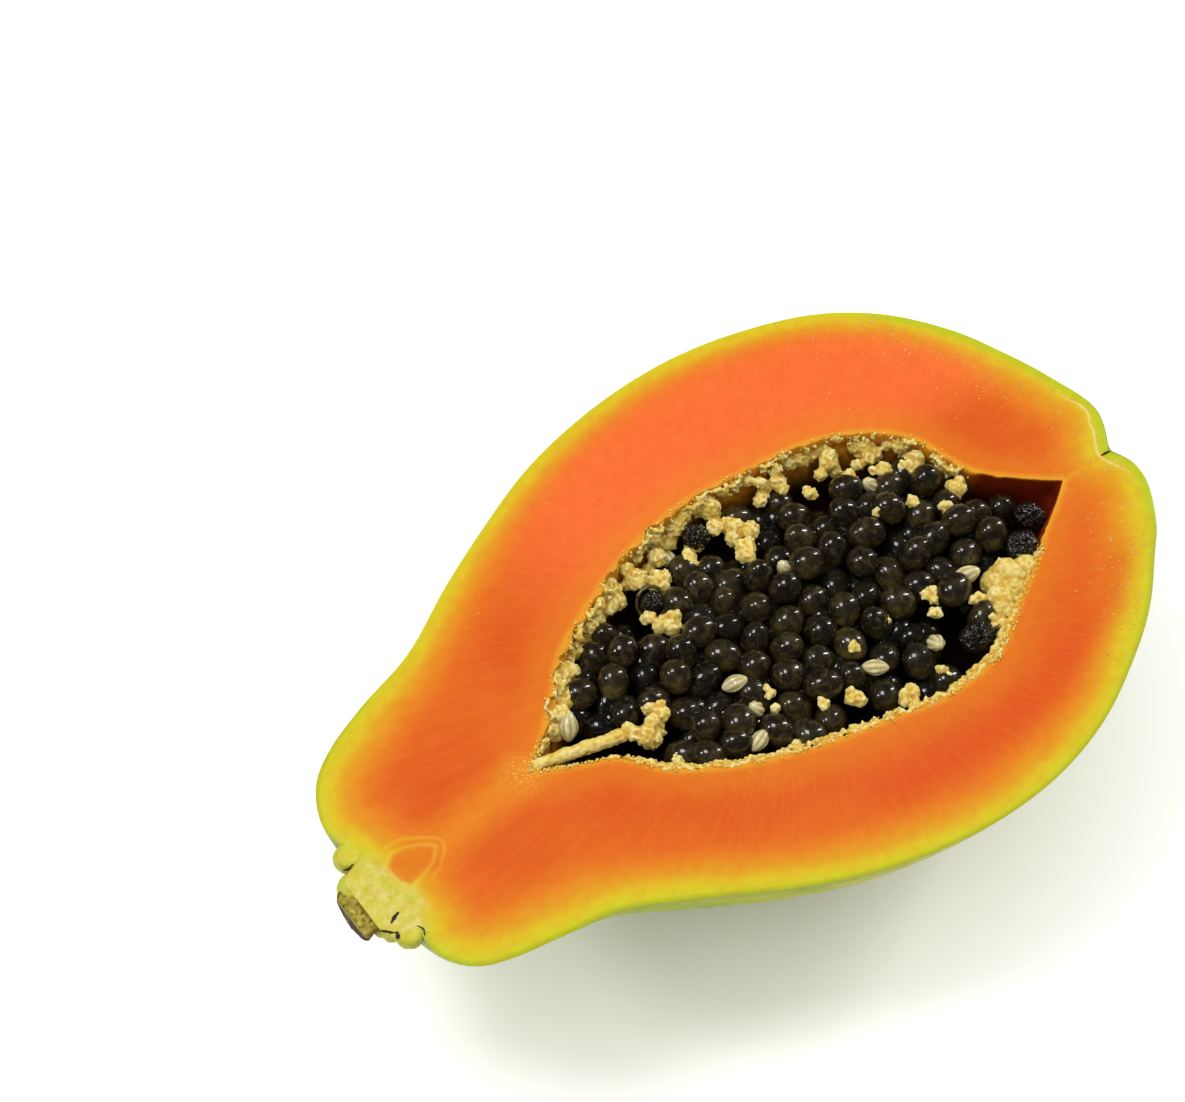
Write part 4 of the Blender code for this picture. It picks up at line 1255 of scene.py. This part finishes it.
def lump_parts(edge, rng):
    """Place, radius and crumbliness of the parts of each lump, and of lumps along the far wall."""
    blobs = []
    for x, y, size, crumbly in CLUMPS:
        by_wall = wall_distance(x, y) < 4
        level = max(heap_level(x, y) + 1.5, -4.0 if by_wall else -9)
        even = crumbly < 0.3
        for _ in range(12 if even else int(rng.integers(4, 8))):
            away = Vector(rng.normal(size=3)).normalized() * size * rng.uniform(0.35, 0.8)
            place = Vector((x, y, min(level, -0.6 * size))) + Vector((away.x, away.y, 0.6 * away.z))
            blobs.append((place, size * rng.uniform(0.40, 0.66) * (1.25 if even else 1.0), crumbly))
        if by_wall:
            out = inward_step(Vector((x, y, 0))).normalized()
            blobs.append((Vector((x, y, -0.8 * size - 0.6)) - out * 0.7 * size, 0.6 * size, crumbly))
    for place in edge[::3]:
        if 40 < place.x < 124 and place.y > 0 and rng.uniform() < 0.55:
            size = rng.uniform(0.9, 1.7)
            down = rng.uniform(1.0, 4.6)
            at = place + to_middle(place) * (0.2 * size) + Vector((0, 0, -down - 0.5 * size))
            blobs.append((at, size, 0.8))
        if 40 < place.x < 84 and place.y > 2:
            size = rng.uniform(1.2, 2.2)
            down = rng.uniform(3.0, 7.5)
            blobs.append((place + to_middle(place) * rng.uniform(0.4, 3.6) - Vector((0, 0, down)), size, 0.5))
    return blobs


def crumb_spots(rng):
    """Place and radius of every small bead of pulp: those along the wall and those in clumps."""
    edge = outline(CAVITY, 200)
    band, blobs, spots = wall_beads(edge, rng), lump_parts(edge, rng), []
    for step in range(TIP_STEPS + 1):
        share = step / TIP_STEPS
        place = TIP_STRAND[0].lerp(TIP_STRAND[1], share)
        bend = 0.18 * noise.noise(Vector((9 * share, 0, 2)))
        thick = 0.95 + 0.3 * share + 0.12 * noise.noise(place / 2.5)
        blobs.append((place + Vector((0.2 * bend, bend, 0)), thick, 0.0))
        if rng.uniform() < 0.6:
            away = Vector(rng.normal(size=3)).normalized() * 0.9 * thick
            spots.append((place + away, rng.uniform(0.15, 0.3)))
    for place, radius, crumbly in blobs:
        spots.append((place, (0.88 if crumbly > 0.3 else 1.0) * radius))
        for _ in range(int(crumbly * (32 * radius * radius + 8))):
            away = Vector(rng.normal(size=3)).normalized() * radius * rng.uniform(0.78, 0.98)
            spots.append((place + away, rng.uniform(0.14, 0.34)))
    return {"wall_crumbs": band, "pulp_crumbs": spots}


def bulge_of(mesh, places):
    """How far each point of the mesh stands out over its neighbours, in mm, a little smoothed."""
    ends = np.empty(2 * len(mesh.edges), np.int32)
    mesh.edges.foreach_get("vertices", ends)
    ends = ends.reshape(-1, 2)
    normals = np.empty(3 * len(mesh.vertices))
    mesh.vertices.foreach_get("normal", normals)
    count = np.bincount(ends.ravel(), minlength=len(places))

    def spread(values):
        total = np.bincount(ends[:, 0], values[ends[:, 1]], len(places))
        total += np.bincount(ends[:, 1], values[ends[:, 0]], len(places))
        return total / np.maximum(count, 1)

    around = np.column_stack([spread(places[:, axis]) for axis in range(3)])
    bulge = ((places - around) * normals.reshape(-1, 3)).sum(axis=1)
    for _ in range(4):
        bulge = 0.5 * bulge + 0.5 * spread(bulge)
    return bulge


def make_pulp(name, spots, rng):
    """Crumbly pulp: thousands of small beads melted together and roughened."""
    base, base_faces = ball(2)
    shapes = []
    for place, radius in spots:
        stretch = rng.uniform(0.85, 1.2, size=3) if radius < 0.7 else 1.0
        shapes.append(base * radius * stretch + np.array(place))
    obj = new_cluster(name, shapes, base_faces, "flesh")
    melt = obj.modifiers.new("melt", "REMESH")
    melt.mode = "VOXEL"
    melt.voxel_size = CRUMB_VOXEL * MM
    melt.use_smooth_shade = True
    bpy.context.view_layer.objects.active = obj
    obj.select_set(True)
    bpy.ops.object.modifier_apply(modifier="melt")
    soften = obj.modifiers.new("soften", "SMOOTH")
    soften.factor = 0.5
    soften.iterations = 2
    bpy.ops.object.modifier_apply(modifier="soften")
    obj.select_set(False)
    mesh = obj.data
    places = np.empty(len(mesh.vertices) * 3)
    mesh.vertices.foreach_get("co", places)
    places = places.reshape(-1, 3) / MM - np.array(SHIFT)
    normals = np.empty(len(places) * 3)
    mesh.vertices.foreach_get("normal", normals)
    rough = 0.14 * wobble(places, 0.9) + 0.10 * wobble(places, 0.45, 3.0)
    places += normals.reshape(-1, 3) * rough[:, None]
    mesh.vertices.foreach_set("co", ((places + np.array(SHIFT)) * MM).ravel())
    mesh.update()
    bulge = bulge_of(mesh, places)
    low, high = np.percentile(bulge, (12, 88))
    # deep darkens the pulp as painted shade low in the cavity; bulge and tip pick the creases and the tips of
    # the crumbs
    put_marks(mesh, {
        "deep": smooth(-4.5, -9.5, places[:, 2]), "bulge": smooth(low, 0.5 * (low + high), bulge),
        "tip": smooth(0.4 * low + 0.6 * high, 1.1 * high, bulge) * smooth(-6.0, -2.0, places[:, 2]),
    })
    mesh.materials.clear()
    mesh.materials.append(PULP)
    mesh.shade_smooth()
    return obj


def make_edge_grains(rng):
    """Fine sugary grains strewn along the torn edge of the cavity."""
    base, base_faces = ball(1)
    edge = outline(CAVITY, 400)
    shapes = []
    for _ in range(GRAIN_TRIES):
        place = edge[int(rng.integers(len(edge)))]
        near_side = place.y < 2
        if place.x > 128 or rng.uniform() > (1.0 if near_side else 0.3):
            continue
        torn = ragged_edge(place.x, place.y)
        inset = float(np.clip(rng.normal(0.1, 0.5), -0.9, 1.2)) + torn
        radius = rng.uniform(0.10, 0.25)
        over = inset - torn
        height = 0.35 * radius + (0.05 if over < 0 else -0.5 * over)
        stretch = rng.uniform(0.75, 1.3, size=3)
        at = np.array(place + to_middle(place) * inset)
        shapes.append(base * radius * stretch + at + np.array((0, 0, height)))
    return new_cluster("edge_grains", shapes, base_faces, "flesh", (GRAINS,))


def make_juice(rng):
    """Short beads and strokes of juice on the cut face, in rows near the blossom end."""
    base, base_faces = ball(1)
    shapes = []
    tries = np.column_stack([rng.uniform(4, 151, JUICE_TRIES), rng.uniform(-50, 50, JUICE_TRIES)])
    rim = ring_distance(tries, BODY_RING)
    hole = -ring_distance(tries, CAVITY_RING)
    rows = 0.5 + 0.5 * np.sin(2 * math.pi * rim / 1.7)
    blossom = smooth(112, 138, tries[:, 0]) * smooth(14.0, 2.0, rim)
    wet = blossom * (0.08 + 0.85 * rows) + 0.007
    keep = (rim > 0.8) & (hole > 0.8) & (rng.uniform(size=len(tries)) < wet)
    for x, y in tries[keep]:
        radius = rng.uniform(0.04, 0.11)
        away = np.array((x, y)) - np.array(CAVITY_MIDDLE)
        angle = math.atan2(away[1], away[0]) + rng.normal(0.0, 0.35)
        long = rng.uniform(1.2, 3.4) if x > 100 else rng.uniform(1.0, 2.0)
        shape = base * np.array((long, 1.0, 0.6)) * radius
        turn = np.array(((math.cos(angle), -math.sin(angle)), (math.sin(angle), math.cos(angle))))
        shape[:, :2] = shape[:, :2] @ turn.T
        shapes.append(shape + np.array((x, y, 0.03)))
    return new_cluster("juice_beads", shapes, base_faces, "flesh", (JUICE,))


# Studio


def make_floor():
    mesh = bpy.data.meshes.new("floor")
    size = 6.0
    corners = [(-size, -size, 0), (size, -size, 0), (size, size, 0), (-size, size, 0)]
    mesh.from_pydata(corners, [], [(0, 1, 2, 3)])
    floor = bpy.data.objects.new("floor", mesh)
    bpy.context.scene.collection.objects.link(floor)
    n = Nodes("pale_floor")
    tone = n.ramp(n.noise(90.0), [(0.3, (0.94, 0.94, 0.94)), (0.7, (0.955, 0.955, 0.955))])
    mesh.materials.append(n.finish(tone, n.span(n.noise(60.0), 0.3, 0.7, 0.75, 0.85), Specular_IOR_Level=0.1))


# Sky: strength at the horizon and overhead, as the camera sees it and as glossy skins reflect it
SKY_LOW, SKY_HIGH = 0.05, 1.55
SKY_SEEN = 1.0
SKY_IN_GLOSS = 0.05
LIGHT_DISTANCE = 2.0
LIGHT_AIM = Vector((0.0, 0.0, 0.03))
LIGHTS = [
    ("key", (-0.30, 0.32, 1.0), (0.6, 0.6), 13.5),
    ("left", (-0.66, 0.42, 0.63), (0.26, 0.34), 6.0),
    ("right", (0.87, 0.06, 0.49), (0.17, 0.9), 13.0),
]


def make_sky():
    """White light from above that fades towards the horizon and hardly shows in gloss."""
    world = bpy.data.worlds.new("studio")
    bpy.context.scene.world = world
    world.use_nodes = True
    tree = world.node_tree
    background = tree.nodes["Background"]
    background.inputs["Color"].default_value = (1.0, 1.0, 1.0, 1)
    rays = tree.nodes.new("ShaderNodeLightPath")
    direction = tree.nodes.new("ShaderNodeSeparateXYZ")
    tree.links.new(tree.nodes.new("ShaderNodeTexCoord").outputs["Generated"], direction.inputs[0])
    strength = SKY_LOW
    for value, high in (
        (direction.outputs["Z"], SKY_HIGH), (rays.outputs["Is Glossy Ray"], SKY_IN_GLOSS),
        (rays.outputs["Is Camera Ray"], SKY_SEEN),
    ):
        between = tree.nodes.new("ShaderNodeMapRange")
        tree.links.new(value, between.inputs["Value"])
        if strength is SKY_LOW:
            between.inputs["To Min"].default_value = strength
        else:
            tree.links.new(strength, between.inputs["To Min"])
        between.inputs["To Max"].default_value = high
        strength = between.outputs["Result"]
    tree.links.new(strength, background.inputs["Strength"])


def area_light(name, direction, size, power):
    light = bpy.data.lights.new(name, "AREA")
    light.shape = "RECTANGLE"
    light.size, light.size_y = size
    light.energy = power
    obj = bpy.data.objects.new(name, light)
    obj.location = Vector(direction).normalized() * LIGHT_DISTANCE
    obj.rotation_euler = (LIGHT_AIM - obj.location).to_track_quat("-Z", "Y").to_euler()
    bpy.context.scene.collection.objects.link(obj)


def make_camera():
    scene = bpy.context.scene
    camera_data = bpy.data.cameras.new("camera")
    camera_data.lens = LENS
    camera_data.sensor_fit = "HORIZONTAL"
    camera_data.sensor_width = SENSOR_WIDTH
    camera = bpy.data.objects.new("camera", camera_data)
    camera.location = (TARGET + BACK * DISTANCE + SHIFT) * MM
    camera.rotation_euler = BACK.to_track_quat("Z", "Y").to_euler()
    scene.collection.objects.link(camera)
    scene.camera = camera
    scene.view_settings.view_transform = "Standard"


FLESH = flesh_material()
RIND = rind_material()
PULP = pulp_material()
SEED = seed_material()
PALE = pale_seed_material()
CORK = cork_material()
JUICE = juice_material()
GRAINS = grain_material()
CRACK = crack_material()

make_flesh()
make_collar()
make_lobes()
make_scar()
make_cracks()
chance = np.random.default_rng(SEED_NUMBER)
make_black_seeds(chance)
make_pale_seeds(chance)
make_crushed_seeds(chance)
make_cut_seed()
for name, spots in crumb_spots(chance).items():
    make_pulp(name, spots, chance)
make_edge_grains(chance)
make_juice(chance)
make_sky()
for name, direction, size, power in LIGHTS:
    area_light(name, direction, size, power)
make_floor()
make_camera()
